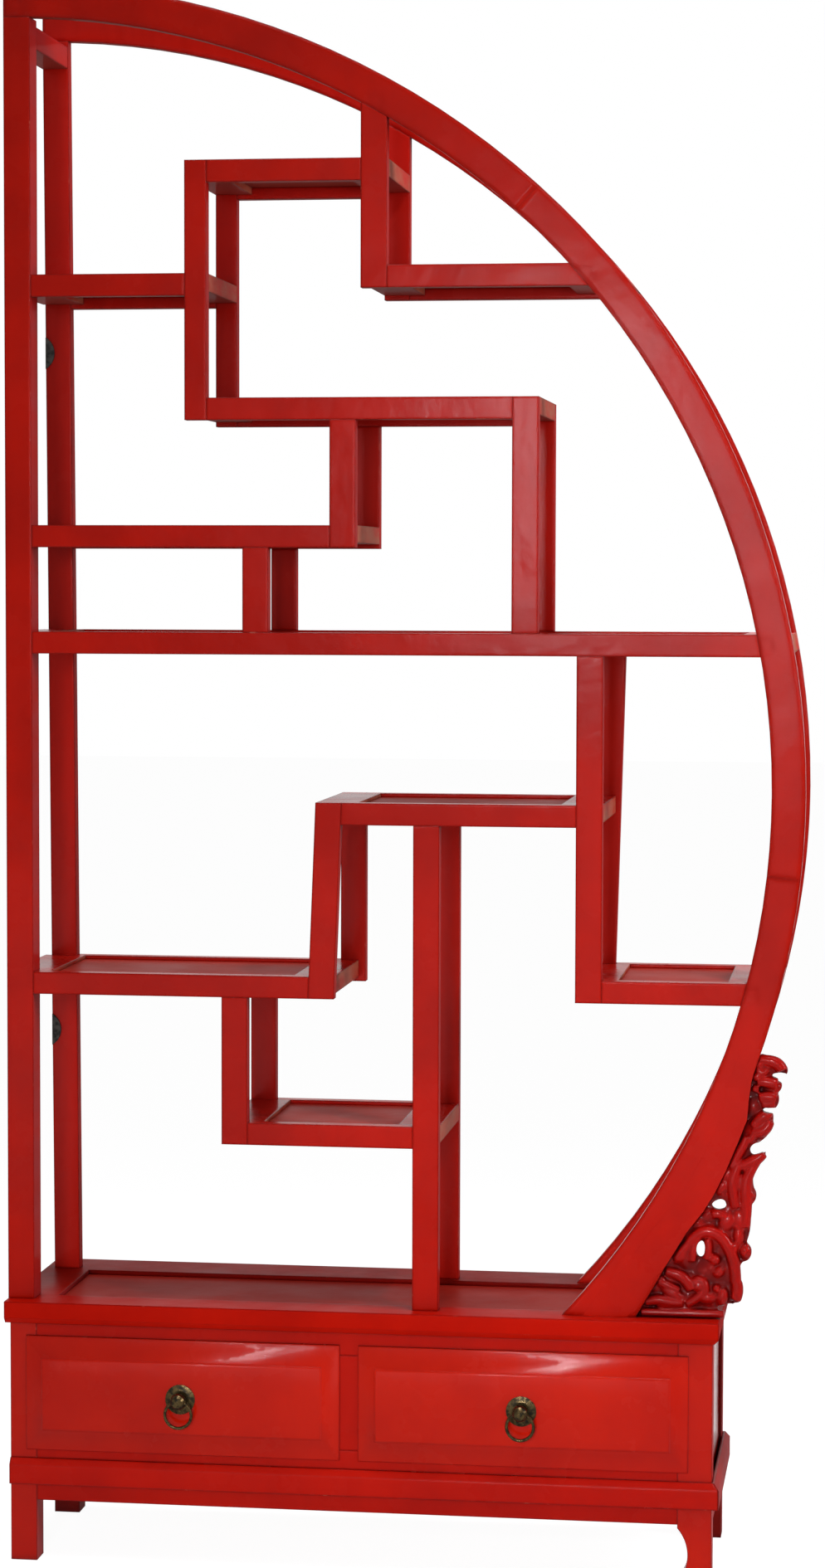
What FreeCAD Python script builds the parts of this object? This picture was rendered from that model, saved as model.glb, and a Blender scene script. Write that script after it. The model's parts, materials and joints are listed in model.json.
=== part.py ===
"""Half-moon lacquered etagere on a two-drawer chest, in millimetres."""
import FreeCAD, Part
import math
import os
import Sketcher
from collections import defaultdict

# Driving dimensions. X runs from the left face, Y from the shelf unit's front, Z from the floor.
SIZES = {
    # Half-moon rim
    "rim_radius": 1014,
    "rim_width": 42,
    "rim_foot_shoulder": 20,
    "upper_joint_angle": 51,
    "lower_joint_angle": -3,
    "joint_lap_angle": 3,
    # Sticks of the lattice
    "unit_depth": 224,
    "stick_depth": 18,
    "stick_width": 33,
    "slim_stick_width": 28,
    "post_width": 34,
    "post_depth": 36,
    "rear_post_lean": 11,
    "low_post_lean": 12,
    "rail_height": 28,
    "cross_rail_height": 22,
    "cross_rail_lap": 20,
    "tie_drop": 8,
    # Tenons
    "tenon_thickness": 6,
    "tenon_setback": 3,
    "tenon_length": 18,
    "tenon_shoulder": 5,
    "tenon_wall": 2,
    # Shelf panels
    "panel_thickness": 8,
    "panel_recess": 5,
    "panel_tongue": 6,
    # Deck of the chest
    "deck_overhang": 106,
    "deck_top": 338,
    "deck_thickness": 28,
    "deck_ledge": 10,
    "deck_end_width": 60,
    "deck_bevel_height": 7,
    "deck_bevel_inset": 6,
    "deck_panel_thickness": 10,
    "deck_panel_recess": 6,
    "deck_tenon_length": 12,
    "base_front_reach": 24,
    "base_rear_reach": 46,
    # Frame of the chest
    "chest_front_inset": 14,
    "chest_rear_inset": 10,
    "chest_left_inset": 5,
    "chest_right_inset": 8,
    "leg_width": 34,
    "leg_depth": 34,
    "hoof_leg_width": 43,
    "hoof_scoop_depth": 13,
    "hoof_scoop_radius": 52,
    "hoof_scoop_height": 40,
    "leg_tenon_length": 8,
    "chest_rail_depth": 22,
    "chest_tenon_length": 12,
    "chest_tenon_thickness": 8,
    "side_panel_thickness": 12,
    "side_panel_inset": 4,
    "side_panel_tongue": 6,
    "centre_stile_width": 50,
    "top_rail_height": 30,
    "bottom_rail_height": 57,
    "runner_width": 20,
    "runner_height": 14,
    "guide_width": 12,
    "guide_height": 20,
    # Moulding and aprons
    "moulding_bottom": 101,
    "moulding_height": 33,
    "moulding_reach": 9,
    "moulding_bevel_height": 8,
    "moulding_bevel_inset": 6,
    "apron_bottom": 79,
    "apron_thickness": 18,
    # Drawers
    "drawer_lip": 13,
    "drawer_front_thickness": 10,
    "drawer_edge_round": 6,
    "drawer_border": 20,
    "drawer_field_raise": 2.5,
    "drawer_block_thickness": 10,
    "drawer_rear_gap": 28,
    "drawer_side_thickness": 10,
    "drawer_back_thickness": 9,
    "drawer_bottom_thickness": 6,
    "drawer_bottom_lift": 8,
    "drawer_groove": 4,
    "drawer_side_gap": 1,
    "drawer_top_gap": 6,
    "running_gap": 0.3,
    # Ring pulls
    "plate_radius": 19,
    "plate_crown_radius": 12,
    "plate_rim_thickness": 1.2,
    "plate_crown_height": 1.6,
    "eye_radius": 10.5,
    "eye_standoff": 11,
    "eye_throat_radius": 2.6,
    "eye_throat_length": 4,
    "eye_mouth_radius": 6,
    "shank_radius": 3.5,
    "shank_fit": 0.2,
    "tail_length": 18,
    "tail_width": 6,
    "tail_thickness": 2,
    "ring_radius": 17,
    "ring_wire_radius": 2,
    # Carved spandrel
    "spandrel_setback": 5,
    "spandrel_thickness": 13,
    "scroll_radius": 34,
    "scroll_band": 8,
    "scroll_raise": 4,
    "scroll_eye_radius": 9,
    # Joining plates
    "joining_plate_radius": 24,
    "joining_plate_reach": 12,
    "joining_plate_thickness": 2,
}

# Places in the half-moon, as shares of the rim's radius
RIM_RISE_SHARE = 0.65
FLARE_RADIUS_SHARE = 1.6223
FLARE_START_SHARE = -0.3028
SHELF_RISE_SHARES = (
    ("top_shelf", 0.7791),
    ("upper_left_shelf", 0.6400),
    ("upper_right_shelf", 0.6479),
    ("high_middle_shelf", 0.4862),
    ("middle_left_shelf", 0.3284),
    ("main_shelf", 0.1953),
    ("low_middle_shelf", -0.0158),
    ("lower_left_shelf", -0.2337),
    ("lower_right_shelf", -0.2327),
    ("bottom_step_shelf", -0.4191),
)
DIVIDER_LEFT_SHARES = (
    ("crown_divider", 0.4497),
    ("high_left_divider", 0.2288),
    ("high_middle_divider", 0.4112),
    ("short_divider", 0.3018),
    ("high_right_divider", 0.6381),
    ("low_right_divider", 0.7189),
    ("leaning_divider_foot", 0.3846),
    ("leaning_divider_top", 0.3939),
    ("tall_divider", 0.5168),
    ("low_left_divider", 0.2751),
)
JOINING_PLATE_RISE_SHARES = (0.5552, -0.3323)
CENTRE_STILE_SHARE = 0.4889
# Turned ball of the pull's eye: place towards the front and radius, as shares of its radius
BALL_SHARES = (
    (-0.97, 0.24),
    (-0.80, 0.60),
    (-0.45, 0.89),
    (0.0, 1.0),
    (0.45, 0.89),
    (0.80, 0.60),
    (0.97, 0.24),
)
RING_SECTION_SIDES = 8

# Carved spandrel: its height as a share of the rim's rise, its reach as a share of the corner it fills
SPANDREL_HEIGHT_SHARE = 0.5068
SPANDREL_REACH_SHARE = 1.198
# Carved outline: arc middle and arc end, across and up, as shares of the spandrel's reach and height
SPANDREL_FOOT_SHARES = ((0.55, 0.0), (0.56, 0.05), (0.70, 0.061))
SPANDREL_ARC_SHARES = (
    (0.725, 0.097, 0.709, 0.137),
    (0.699, 0.176, 0.721, 0.216),
    (0.785, 0.253, 0.749, 0.289),
    (0.778, 0.361, 0.769, 0.433),
    (0.815, 0.470, 0.798, 0.495),
    (0.791, 0.541, 0.806, 0.585),
    (0.854, 0.607, 0.880, 0.643),
    (0.809, 0.619, 0.770, 0.634),
    (0.779, 0.656, 0.821, 0.667),
    (0.898, 0.708, 0.923, 0.780),
    (0.893, 0.781, 0.871, 0.790),
    (0.903, 0.801, 0.939, 0.800),
    (0.962, 0.829, 0.951, 0.859),
    (0.979, 0.877, 0.979, 0.895),
    (0.950, 0.903, 0.925, 0.915),
    (0.966, 0.916, 0.995, 0.917),
    (1.019, 0.946, 0.978, 0.972),
    (0.913, 0.991, 0.829, 1.002),
)
SPANDREL_BACK_SHARES = ((0.76, 1.0), (-0.05, 0.0))
# Openings: centre across and up, then long and short half-axes as shares of the reach, and tilt in degrees
SPANDREL_OPENING_SHARES = (
    (0.563, 0.430, 0.050, 0.030, 0),
    (0.439, 0.262, 0.058, 0.031, 90),
)
SCROLL_CENTRE_SHARES = (0.498, 0.213)
SCROLL_START_ANGLE = -110
SCROLL_TURN_ANGLE = 250


class Size:
    """A length together with the sheet formula that gives it."""

    def __init__(self, formula, value):
        self.formula = formula
        self.value = value

    def __add__(self, other):
        return Size(f"({self.formula} + {formula_of(other)})", self.value + value_of(other))

    def __radd__(self, other):
        return self + other

    def __sub__(self, other):
        return Size(f"({self.formula} - {formula_of(other)})", self.value - value_of(other))

    def __rsub__(self, other):
        return -self + other

    def __mul__(self, other):
        return Size(f"({self.formula} * {formula_of(other)})", self.value * value_of(other))

    def __truediv__(self, other):
        return Size(f"({self.formula} / {formula_of(other)})", self.value / value_of(other))

    def __neg__(self):
        return Size(f"(-1 * {self.formula})", -self.value)

    def root(self):
        """The square root."""
        return Size(f"sqrt({self.formula})", math.sqrt(self.value))


def formula_of(size):
    """A size's formula, or a plain number as text."""
    return size.formula if isinstance(size, Size) else str(size)


def value_of(size):
    """A size's present value, or the plain number."""
    return size.value if isinstance(size, Size) else size


doc = FreeCAD.newDocument("HalfMoonEtagere")
sheet = doc.addObject("Spreadsheet::Sheet", "Sizes")
for row, (alias, length) in enumerate(SIZES.items(), 1):
    sheet.set(f"A{row}", alias)
    sheet.set(f"B{row}", str(length))
    sheet.setAlias(f"B{row}", alias)
doc.recompute()


def size(alias):
    """The sheet's size of that name."""
    return Size(f"Sizes.{alias}", float(sheet.get(alias)))


def bind(item, prop, length):
    """Tie one property to a size."""
    if isinstance(length, Size):
        item.setExpression(prop, length.formula)


def place(item, x, y, z):
    """Tie an item's position to three sizes."""
    for axis, length in zip("xyz", (x, y, z)):
        bind(item, f"Placement.Base.{axis}", length)


def turn(item, axis, angle):
    """Turn an item about an axis through its own origin."""
    rotation = FreeCAD.Rotation(FreeCAD.Vector(*axis), angle)
    item.Placement = FreeCAD.Placement(FreeCAD.Vector(), rotation)


def block(x, y, z):
    """A box between a start and an end along each axis."""
    item = doc.addObject("Part::Box", "Block")
    for prop, (start, end) in zip(("Length", "Width", "Height"), (x, y, z)):
        bind(item, prop, end - start)
    place(item, x[0], y[0], z[0])
    return item


def disc(x, z, radius, y):
    """A cylinder along Y about (x, z), between a start and an end."""
    item = doc.addObject("Part::Cylinder", "Disc")
    turn(item, (1, 0, 0), -90)
    bind(item, "Radius", radius)
    bind(item, "Height", y[1] - y[0])
    place(item, x, y[0], z)
    return item


def cone(axis, angle, base, radii, length):
    """A cone that points the way its own Z axis is turned to."""
    item = doc.addObject("Part::Cone", "Cone")
    turn(item, axis, angle)
    bind(item, "Radius1", radii[0])
    bind(item, "Radius2", radii[1])
    bind(item, "Height", length)
    place(item, *base)
    return item


def taper(x, y, z, x_top, y_top):
    """A block whose top differs from its foot."""
    item = doc.addObject("Part::Wedge", "Taper")
    turn(item, (1, 0, 0), 90)
    ends = {"Xmin": x[0], "Xmax": x[1], "X2min": x_top[0], "X2max": x_top[1]}
    ends.update({"Zmin": -y[1], "Zmax": -y[0], "Z2min": -y_top[1], "Z2max": -y_top[0]})
    ends.update({"Ymin": z[0], "Ymax": z[1]})
    for prop, length in ends.items():
        setattr(item, prop, value_of(length))
        bind(item, prop, length)
    return item


def fuse(items):
    """Join items into one solid."""
    if len(items) == 1:
        return items[0]
    item = doc.addObject("Part::MultiFuse", "Joined")
    item.Shapes = items
    return item


def cut(base, tools):
    """Take tools away from a base."""
    if not tools:
        return base
    item = doc.addObject("Part::Cut", "CutAway")
    item.Base = base
    item.Tool = fuse(tools)
    return item


def common(base, tool):
    """Keep what two items share."""
    item = doc.addObject("Part::Common", "Shared")
    item.Base = base
    item.Tool = tool
    return item


# Sizes that follow from the driving ones
rim_radius = size("rim_radius")
rim_inner_radius = rim_radius - size("rim_width")
rim_rise = rim_radius * RIM_RISE_SHARE
rim_centre = size("deck_top") + rim_rise
flare_radius = rim_radius * FLARE_RADIUS_SHARE
flare_start = rim_centre + rim_radius * FLARE_START_SHARE
flare_offset = flare_radius - rim_radius
flare_x = -(flare_offset * math.sqrt(1 - FLARE_START_SHARE ** 2))
flare_z = rim_centre - flare_offset * FLARE_START_SHARE


def rim_x(radius, height):
    """How far right a rim circle reaches at a height."""
    rise = height - rim_centre
    return (radius * radius - rise * rise).root()


def rim_z(radius, x):
    """How high a rim circle reaches above a place."""
    return rim_centre + (radius * radius - x * x).root()


def flare_reach(height):
    """How far right the flared foot reaches at a height."""
    rise = height - flare_z
    return flare_x + (flare_radius * flare_radius - rise * rise).root()


deck_top = size("deck_top")
deck_bottom = deck_top - size("deck_thickness")
rim_foot_in = rim_x(rim_inner_radius, deck_top)
rim_foot_out = flare_reach(deck_top)
deck_right = rim_foot_out + size("deck_overhang")
unit_depth = size("unit_depth")
stick_depth = size("stick_depth")
stick_width = size("stick_width")
shoulder = size("tenon_shoulder")
tenon_length = size("tenon_length")
base_front = -size("base_front_reach")
base_rear = unit_depth + size("base_rear_reach")
chest_front = base_front + size("chest_front_inset")
chest_rear = base_rear - size("chest_rear_inset")
chest_left = size("chest_left_inset")
chest_right = deck_right - size("chest_right_inset")
lip_back = chest_front - size("running_gap")
lip_front = lip_back - size("drawer_front_thickness")
field_front = lip_front - size("drawer_field_raise")
plate_front = field_front - size("plate_rim_thickness") - size("plate_crown_height")
eye_y = plate_front - size("eye_standoff")
pull_front = eye_y - size("eye_radius") * BALL_SHARES[-1][0]

# The part's own origin is the middle of its box, on the floor
shift_x = -(rim_radius / 2)
shift_y = -((base_rear + pull_front) / 2)

FRONT = "front"
REAR = "rear"
STICK_SPAN = {FRONT: (0, stick_depth), REAR: (unit_depth - stick_depth, unit_depth)}
tenon_inner = size("tenon_setback") + size("tenon_thickness")
TENON_SPAN = {
    FRONT: (size("tenon_setback"), tenon_inner),
    REAR: (unit_depth - tenon_inner, unit_depth - size("tenon_setback")),
}
INNER_SPAN = (stick_depth, unit_depth - stick_depth)
cross_tenon_start = tenon_inner + size("tenon_wall")
CROSS_TENON_SPAN = (cross_tenon_start, unit_depth - cross_tenon_start)

nodes = {}
mortises = defaultdict(list)


def node(label, solids):
    """Keep solids as one named sub-part."""
    item = doc.addObject("Part::Compound", "Node")
    item.Label = label
    item.Links = solids
    place(item, shift_x, shift_y, 0)
    nodes[label] = item


def upright(name):
    """The left and right faces of a divider or of the left post."""
    if name == "post":
        return 0, size("post_width")
    left = rim_radius * dict(DIVIDER_LEFT_SHARES)[name]
    if name == "high_left_divider":
        return left, left + size("slim_stick_width")
    return left, left + stick_width


def top_of(shelf):
    """A shelf's top."""
    return rim_centre + rim_radius * dict(SHELF_RISE_SHARES)[shelf]


def underside_of(shelf):
    """A shelf's underside."""
    return top_of(shelf) - size("rail_height")


def leaning_post(side):
    """One post of the leaning divider, before its mortises: the front one leans, the rear one is upright."""
    top = upright("leaning_divider_top")
    foot = upright("leaning_divider_foot") if side == FRONT else top
    span = STICK_SPAN[side]
    rise = (underside_of("lower_left_shelf"), top_of("low_middle_shelf"))
    return taper(foot, span, rise, top, span)


leaning_posts = {side: leaning_post(side) for side in (FRONT, REAR)}

# Left posts before their mortises: the front one upright, the rear one leaning to the meeting side
rim_top = rim_centre + rim_radius
post_rise = (deck_top, rim_top)
post_lean = size("rear_post_lean")
lean_foot = (post_lean, post_lean + size("post_width"))
left_post_forms = {
    FRONT: block(upright("post"), (0, size("post_depth")), post_rise),
    REAR: taper(lean_foot, STICK_SPAN[REAR], post_rise, upright("post"), STICK_SPAN[REAR]),
}
post_tenon_x = (post_lean + shoulder, size("post_width") - shoulder)

# Low right divider: its rear post leans towards the rim
low_faces = upright("low_right_divider")
low_lean = size("low_post_lean")
low_head = (low_faces[0] + low_lean, low_faces[1] + low_lean)
low_rise = (underside_of("lower_right_shelf"), underside_of("main_shelf"))
low_tenon_x = (low_head[0] + shoulder, low_faces[1] - shoulder)
low_rear_form = taper(low_faces, STICK_SPAN[REAR], low_rise, low_head, STICK_SPAN[REAR])


def fit_to_neighbours(rail, side, ends):
    """Trim a rail to the rim's inner face and to the leaning posts."""
    if "post" in ends and side == REAR:
        rail = cut(rail, [left_post_forms[REAR]])
    if "rim" in ends:
        inner = disc(0, rim_centre, rim_inner_radius, STICK_SPAN[side])
        rail = common(rail, inner)
    if any(end.startswith("leaning") for end in ends):
        rail = cut(rail, [leaning_posts[side]])
    if "low_right_divider" in ends and side == REAR:
        rail = cut(rail, [low_rear_form])
    return rail


# Shelves, each between a left and a right neighbour
SHELVES = (
    ("top_shelf", "high_left_divider", "crown_divider"),
    ("upper_left_shelf", "post", "high_left_divider"),
    ("upper_right_shelf", "crown_divider", "rim"),
    ("high_middle_shelf", "high_left_divider", "high_right_divider"),
    ("middle_left_shelf", "post", "high_middle_divider"),
    ("main_shelf", "post", "rim"),
    ("low_middle_shelf", "leaning_divider_top", "low_right_divider"),
    ("lower_left_shelf", "post", "leaning_divider_foot"),
    ("lower_right_shelf", "low_right_divider", "rim"),
    ("bottom_step_shelf", "low_left_divider", "tall_divider"),
)


def mortise_key(side, end):
    """The list that collects the tenons entering an upright."""
    return (side, "leaning_divider" if end.startswith("leaning") else end)


def cross_rail(span, tenon_x, top, ends, panel):
    """A rail from front to rear, tenoned into both posts beside it."""
    bottom = top - size("cross_rail_height")
    rail = block(span, INNER_SPAN, (bottom, top))
    if ends == "rim":
        rail = common(rail, disc(0, rim_centre, rim_radius, INNER_SPAN))
    if ends == "post":
        rail = cut(rail, [left_post_forms[FRONT]])
    tenon = block(tenon_x, CROSS_TENON_SPAN, (bottom + shoulder, top - shoulder))
    for side in (FRONT, REAR):
        mortises[mortise_key(side, ends)].append(tenon)
    return cut(fuse([rail, tenon]), [panel])


def shelf_parts(name, left_end, right_end):
    """Work out one shelf: rails by side, cross rails and panel."""
    top = top_of(name)
    bottom = underside_of(name)
    left = upright(left_end)
    middle = (top + bottom) / 2
    if right_end == "rim":
        inner = rim_x(rim_inner_radius, middle)
        right = (inner, rim_radius)
        right_tenon = (inner + shoulder + shoulder, inner + size("rim_width") - shoulder)
        rail_end = rim_radius
    else:
        right = upright(right_end)
        right_tenon = (right[0] + shoulder, right[1] - shoulder)
        rail_end = right[0]
    if right_end == "leaning_divider_foot":
        right_tenon = (upright("leaning_divider_top")[0] + shoulder, right[1] - shoulder)
    if right_end == "low_right_divider":
        right_tenon = low_tenon_x
    rail_start = left[1]
    if left_end.startswith("leaning"):
        rail_start = left[1] - stick_width / 2
    if right_end.startswith("leaning"):
        rail_end = right[0] + stick_width / 2
    lap = size("cross_rail_lap")
    core = (left[1] + lap, right[0] - lap)
    tongue = size("panel_tongue")
    panel_top = top - size("panel_recess")
    panel_z = (panel_top - size("panel_thickness"), panel_top)
    deep = block(core, (INNER_SPAN[0] - tongue, INNER_SPAN[1] + tongue), panel_z)
    wide = block((core[0] - tongue, core[1] + tongue), INNER_SPAN, panel_z)
    panel = fuse([deep, wide])
    rails = {}
    for side in (FRONT, REAR):
        if left_end == "post" and side == REAR:
            rail_start = left[1] - size("post_width") / 3
        if right_end == "low_right_divider" and side == REAR:
            rail_end = right[0] + stick_width / 2
        rail = block((rail_start, rail_end), STICK_SPAN[side], (bottom, top))
        rail = fit_to_neighbours(rail, side, (left_end, right_end))
        tenon_x = (left[1] - tenon_length, right[0] + tenon_length)
        tenon = block(tenon_x, TENON_SPAN[side], (bottom + shoulder, top - shoulder))
        mortises[mortise_key(side, left_end)].append(tenon)
        mortises[mortise_key(side, right_end)].append(tenon)
        rails[side] = cut(fuse([rail, tenon]), [panel])
    left_tenon = (left[0] + shoulder, left[1] - shoulder)
    if left_end == "post":
        left_tenon = post_tenon_x
    cross = [
        cross_rail((left[0], core[0]), left_tenon, top, left_end, panel),
        cross_rail((core[1], right[1]), right_tenon, top, right_end, panel),
    ]
    return rails, cross, panel


shelves = {name: shelf_parts(name, left, right) for name, left, right in SHELVES}


# Dividers: what each stands on or hangs from, with a tenon at each butted end
DIVIDERS = (
    ("high_left_divider", underside_of("high_middle_shelf"), None, top_of("top_shelf"), None),
    ("high_middle_divider", underside_of("middle_left_shelf"), None,
     underside_of("high_middle_shelf"), "high_middle_shelf"),
    ("short_divider", top_of("main_shelf"), "main_shelf",
     underside_of("middle_left_shelf"), "middle_left_shelf"),
    ("high_right_divider", top_of("main_shelf"), "main_shelf", top_of("high_middle_shelf"), None),
    ("low_right_divider", underside_of("lower_right_shelf"), None,
     underside_of("main_shelf"), "main_shelf"),
    ("tall_divider", deck_top, "deck", underside_of("low_middle_shelf"), "low_middle_shelf"),
    ("low_left_divider", underside_of("bottom_step_shelf"), None,
     underside_of("lower_left_shelf"), "lower_left_shelf"),
)


def standing_post(side, name, foot, head, foot_on, head_in):
    """One post of a divider, with its tenons noted for the rails they enter."""
    faces = upright(name)
    post = block(faces, STICK_SPAN[side], (foot, head))
    if foot_on is None and head_in is None:
        return post
    tenon_foot = foot + shoulder if foot_on is None else foot - tenon_length
    tenon_head = head - shoulder if head_in is None else head + tenon_length
    tenon_x = (faces[0] + shoulder, faces[1] - shoulder)
    if name == "low_right_divider" and side == REAR:
        post = low_rear_form
        tenon_x = low_tenon_x
    tenon = block(tenon_x, TENON_SPAN[side], (tenon_foot, tenon_head))
    for neighbour in (foot_on, head_in):
        if neighbour is not None:
            mortises[(side, neighbour)].append(tenon)
    return fuse([post, tenon])


def post_under_rim(side, faces, foot):
    """A post whose head is shaped to the rim's inner face and tenoned into it."""
    span = STICK_SPAN[side]
    post = block(faces, span, (foot, rim_centre + rim_radius))
    post = common(post, disc(0, rim_centre, rim_inner_radius, span))
    head = rim_z(rim_inner_radius, (faces[1] + faces[0]) / 2)
    tenon_x = (faces[0] + shoulder, faces[1] - shoulder)
    tenon = block(tenon_x, TENON_SPAN[side], (foot + shoulder, head + tenon_length))
    mortises[(side, "rim")].append(tenon)
    return fuse([post, tenon])


def left_post(side):
    """A left post, its head shaped to the rim's inner face and tenoned into it."""
    start = STICK_SPAN[side][0]
    inner = disc(0, rim_centre, rim_inner_radius, (start, start + size("post_depth")))
    head = rim_z(rim_inner_radius, size("post_width") / 2)
    tenon = block(post_tenon_x, TENON_SPAN[side], (deck_top - tenon_length, head + tenon_length))
    mortises[(side, "rim")].append(tenon)
    mortises[(side, "deck")].append(tenon)
    return fuse([common(left_post_forms[side], inner), tenon])


posts = {}
for name, foot, foot_on, head, head_in in DIVIDERS:
    for side in (FRONT, REAR):
        posts[(side, name)] = standing_post(side, name, foot, head, foot_on, head_in)
for side in (FRONT, REAR):
    posts[(side, "leaning_divider")] = leaning_posts[side]
    crown_foot = underside_of("upper_right_shelf")
    posts[(side, "crown_divider")] = post_under_rim(side, upright("crown_divider"), crown_foot)
    posts[(side, "post")] = left_post(side)

# Tie rail across the heads of the left posts
tie_top = rim_z(rim_inner_radius, size("post_width")) - size("tie_drop")
tie_bottom = tie_top - size("rail_height")
tie_rail = block(upright("post"), (size("post_depth"), INNER_SPAN[1]), (tie_bottom, tie_top))
tie_tenon = block(post_tenon_x, CROSS_TENON_SPAN, (tie_bottom + shoulder, tie_top - shoulder))
for side in (FRONT, REAR):
    mortises[(side, "post")].append(tie_tenon)
node("top_tie_rail", [fuse([tie_rail, tie_tenon])])

# Rims, sawn in three segments that half-lap at radial joints
def sector(y, angle):
    """The part of the rim's plane above a radial line."""
    reach = rim_radius * 2
    item = block((0, reach), y, (0, reach))
    turn(item, (0, -1, 0), 0)
    item.Placement.Rotation = FreeCAD.Rotation(FreeCAD.Vector(0, -1, 0), value_of(angle))
    bind(item, "Placement.Rotation.Angle", angle)
    place(item, 0, y[0], rim_centre)
    return item


def above_joint(side, angle):
    """What lies above a half-lapped joint: the front half reaches further down."""
    start, end = STICK_SPAN[side]
    halfway = (start + end) / 2
    return fuse([sector((start, halfway), angle - size("joint_lap_angle")), sector((halfway, end), angle)])


def rim_segments(side):
    """The upper, middle and lower segments of one rim."""
    span = STICK_SPAN[side]
    ring = disc(0, rim_centre, rim_radius, span)
    flare = disc(flare_x, flare_z, flare_radius, span)
    low = block((0, rim_radius), span, (deck_top, flare_start))
    outer = fuse([ring, common(flare, low)])
    hoop = cut(outer, [disc(0, rim_centre, rim_inner_radius, span)])
    half = block((0, rim_radius), span, (deck_top, rim_centre + rim_radius))
    foot_x = (rim_foot_in + size("rim_foot_shoulder"), rim_foot_out - size("rim_foot_shoulder"))
    tenon = block(foot_x, TENON_SPAN[side], (deck_top - tenon_length, deck_top + shoulder))
    mortises[(side, "deck")].append(tenon)
    whole = cut(fuse([common(hoop, half), tenon]), mortises[(side, "rim")])
    upper = common(whole, above_joint(side, size("upper_joint_angle")))
    rest = cut(whole, [above_joint(side, size("upper_joint_angle"))])
    middle = common(rest, above_joint(side, size("lower_joint_angle")))
    lower = cut(rest, [above_joint(side, size("lower_joint_angle"))])
    return [upper, middle, lower]


for side in (FRONT, REAR):
    node(f"{side}_rim", rim_segments(side))

# Shelf unit's nodes, each member mortised for what enters it
for name, (rails, cross, panel) in shelves.items():
    members = [cut(rails[side], mortises[(side, name)]) for side in (FRONT, REAR)]
    node(f"{name}_frame", members + cross)
    node(f"{name}_panel", [panel])
for name in [row[0] for row in DIVIDERS] + ["leaning_divider", "crown_divider"]:
    members = [cut(posts[(side, name)], mortises[(side, name)]) for side in (FRONT, REAR)]
    node(name, members)
for side in (FRONT, REAR):
    node(f"{side}_left_post", [cut(posts[(side, "post")], mortises[(side, "post")])])

# Deck frame with a bevelled underside and a sunk panel
bevel_top = deck_bottom + size("deck_bevel_height")
bevel_inset = size("deck_bevel_inset")
deck_form = fuse([
    block((0, deck_right), (base_front, base_rear), (bevel_top, deck_top)),
    taper(
        (0, deck_right - bevel_inset),
        (base_front + bevel_inset, base_rear - bevel_inset),
        (deck_bottom, bevel_top),
        (0, deck_right),
        (base_front, base_rear),
    ),
])
DECK_SPAN = {
    FRONT: (base_front, stick_depth + size("deck_ledge")),
    REAR: (unit_depth - stick_depth - size("deck_ledge"), base_rear),
}
deck_inner_y = (DECK_SPAN[FRONT][1], DECK_SPAN[REAR][0])
deck_inner_x = (size("deck_end_width"), deck_right - size("deck_end_width"))
deck_panel_top = deck_top - size("deck_panel_recess")
deck_panel_z = (deck_panel_top - size("deck_panel_thickness"), deck_panel_top)
tongue = size("panel_tongue")
deck_panel = fuse([
    block(deck_inner_x, (deck_inner_y[0] - tongue, deck_inner_y[1] + tongue), deck_panel_z),
    block((deck_inner_x[0] - tongue, deck_inner_x[1] + tongue), deck_inner_y, deck_panel_z),
])
node("deck_panel", [deck_panel])
end_tenon_y = (deck_inner_y[0] - size("deck_tenon_length"), deck_inner_y[1] + size("deck_tenon_length"))
end_tenon_z = (deck_bottom + shoulder, deck_top - shoulder)
deck_ends = []
for end_x in ((0, deck_inner_x[0]), (deck_inner_x[1], deck_right)):
    end_rail = common(deck_form, block(end_x, deck_inner_y, (deck_bottom, deck_top)))
    end_tenon_x = (end_x[0] + size("deck_bevel_inset") + shoulder, end_x[1] - tongue - shoulder)
    if end_x[1] is deck_right:
        end_tenon_x = (end_x[0] + tongue + shoulder, end_x[1] - size("deck_bevel_inset") - shoulder)
    end_tenon = block(end_tenon_x, end_tenon_y, end_tenon_z)
    for side in (FRONT, REAR):
        mortises[(side, "deck")].append(end_tenon)
    deck_ends.append(cut(fuse([end_rail, end_tenon]), [deck_panel]))

# Legs: straight on the meeting side, hoofed on the open side
leg_spans = {
    FRONT: (chest_front, chest_front + size("leg_depth")),
    REAR: (chest_rear - size("leg_depth"), chest_rear),
}
leg_faces = {
    "left": (chest_left, chest_left + size("leg_width")),
    "right": (chest_right - size("hoof_leg_width"), chest_right),
}
leg_mortises = defaultdict(list)


def leg(side, hand):
    """A leg from the floor to the deck, with a tenon into the deck's rail."""
    x = leg_faces[hand]
    y = leg_spans[side]
    solid = block(x, y, (0, deck_bottom))
    if hand == "right":
        scoop_x = x[0] + size("hoof_scoop_depth") - size("hoof_scoop_radius")
        solid = cut(solid, [disc(scoop_x, size("hoof_scoop_height"), size("hoof_scoop_radius"), y)])
    inset = shoulder + shoulder
    tenon_z = (deck_bottom - shoulder, deck_bottom + size("leg_tenon_length"))
    tenon = block((x[0] + inset, x[1] - inset), (y[0] + inset, y[1] - inset), tenon_z)
    mortises[(side, "deck")].append(tenon)
    return fuse([solid, tenon])


legs = {(side, hand): leg(side, hand) for side in (FRONT, REAR) for hand in ("left", "right")}

deck_rails = []
for side in (FRONT, REAR):
    deck_rail = common(deck_form, block((0, deck_right), DECK_SPAN[side], (deck_bottom, deck_top)))
    deck_rails.append(cut(deck_rail, mortises[(side, "deck")] + [deck_panel]))
node("deck_frame", deck_rails + deck_ends)

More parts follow.
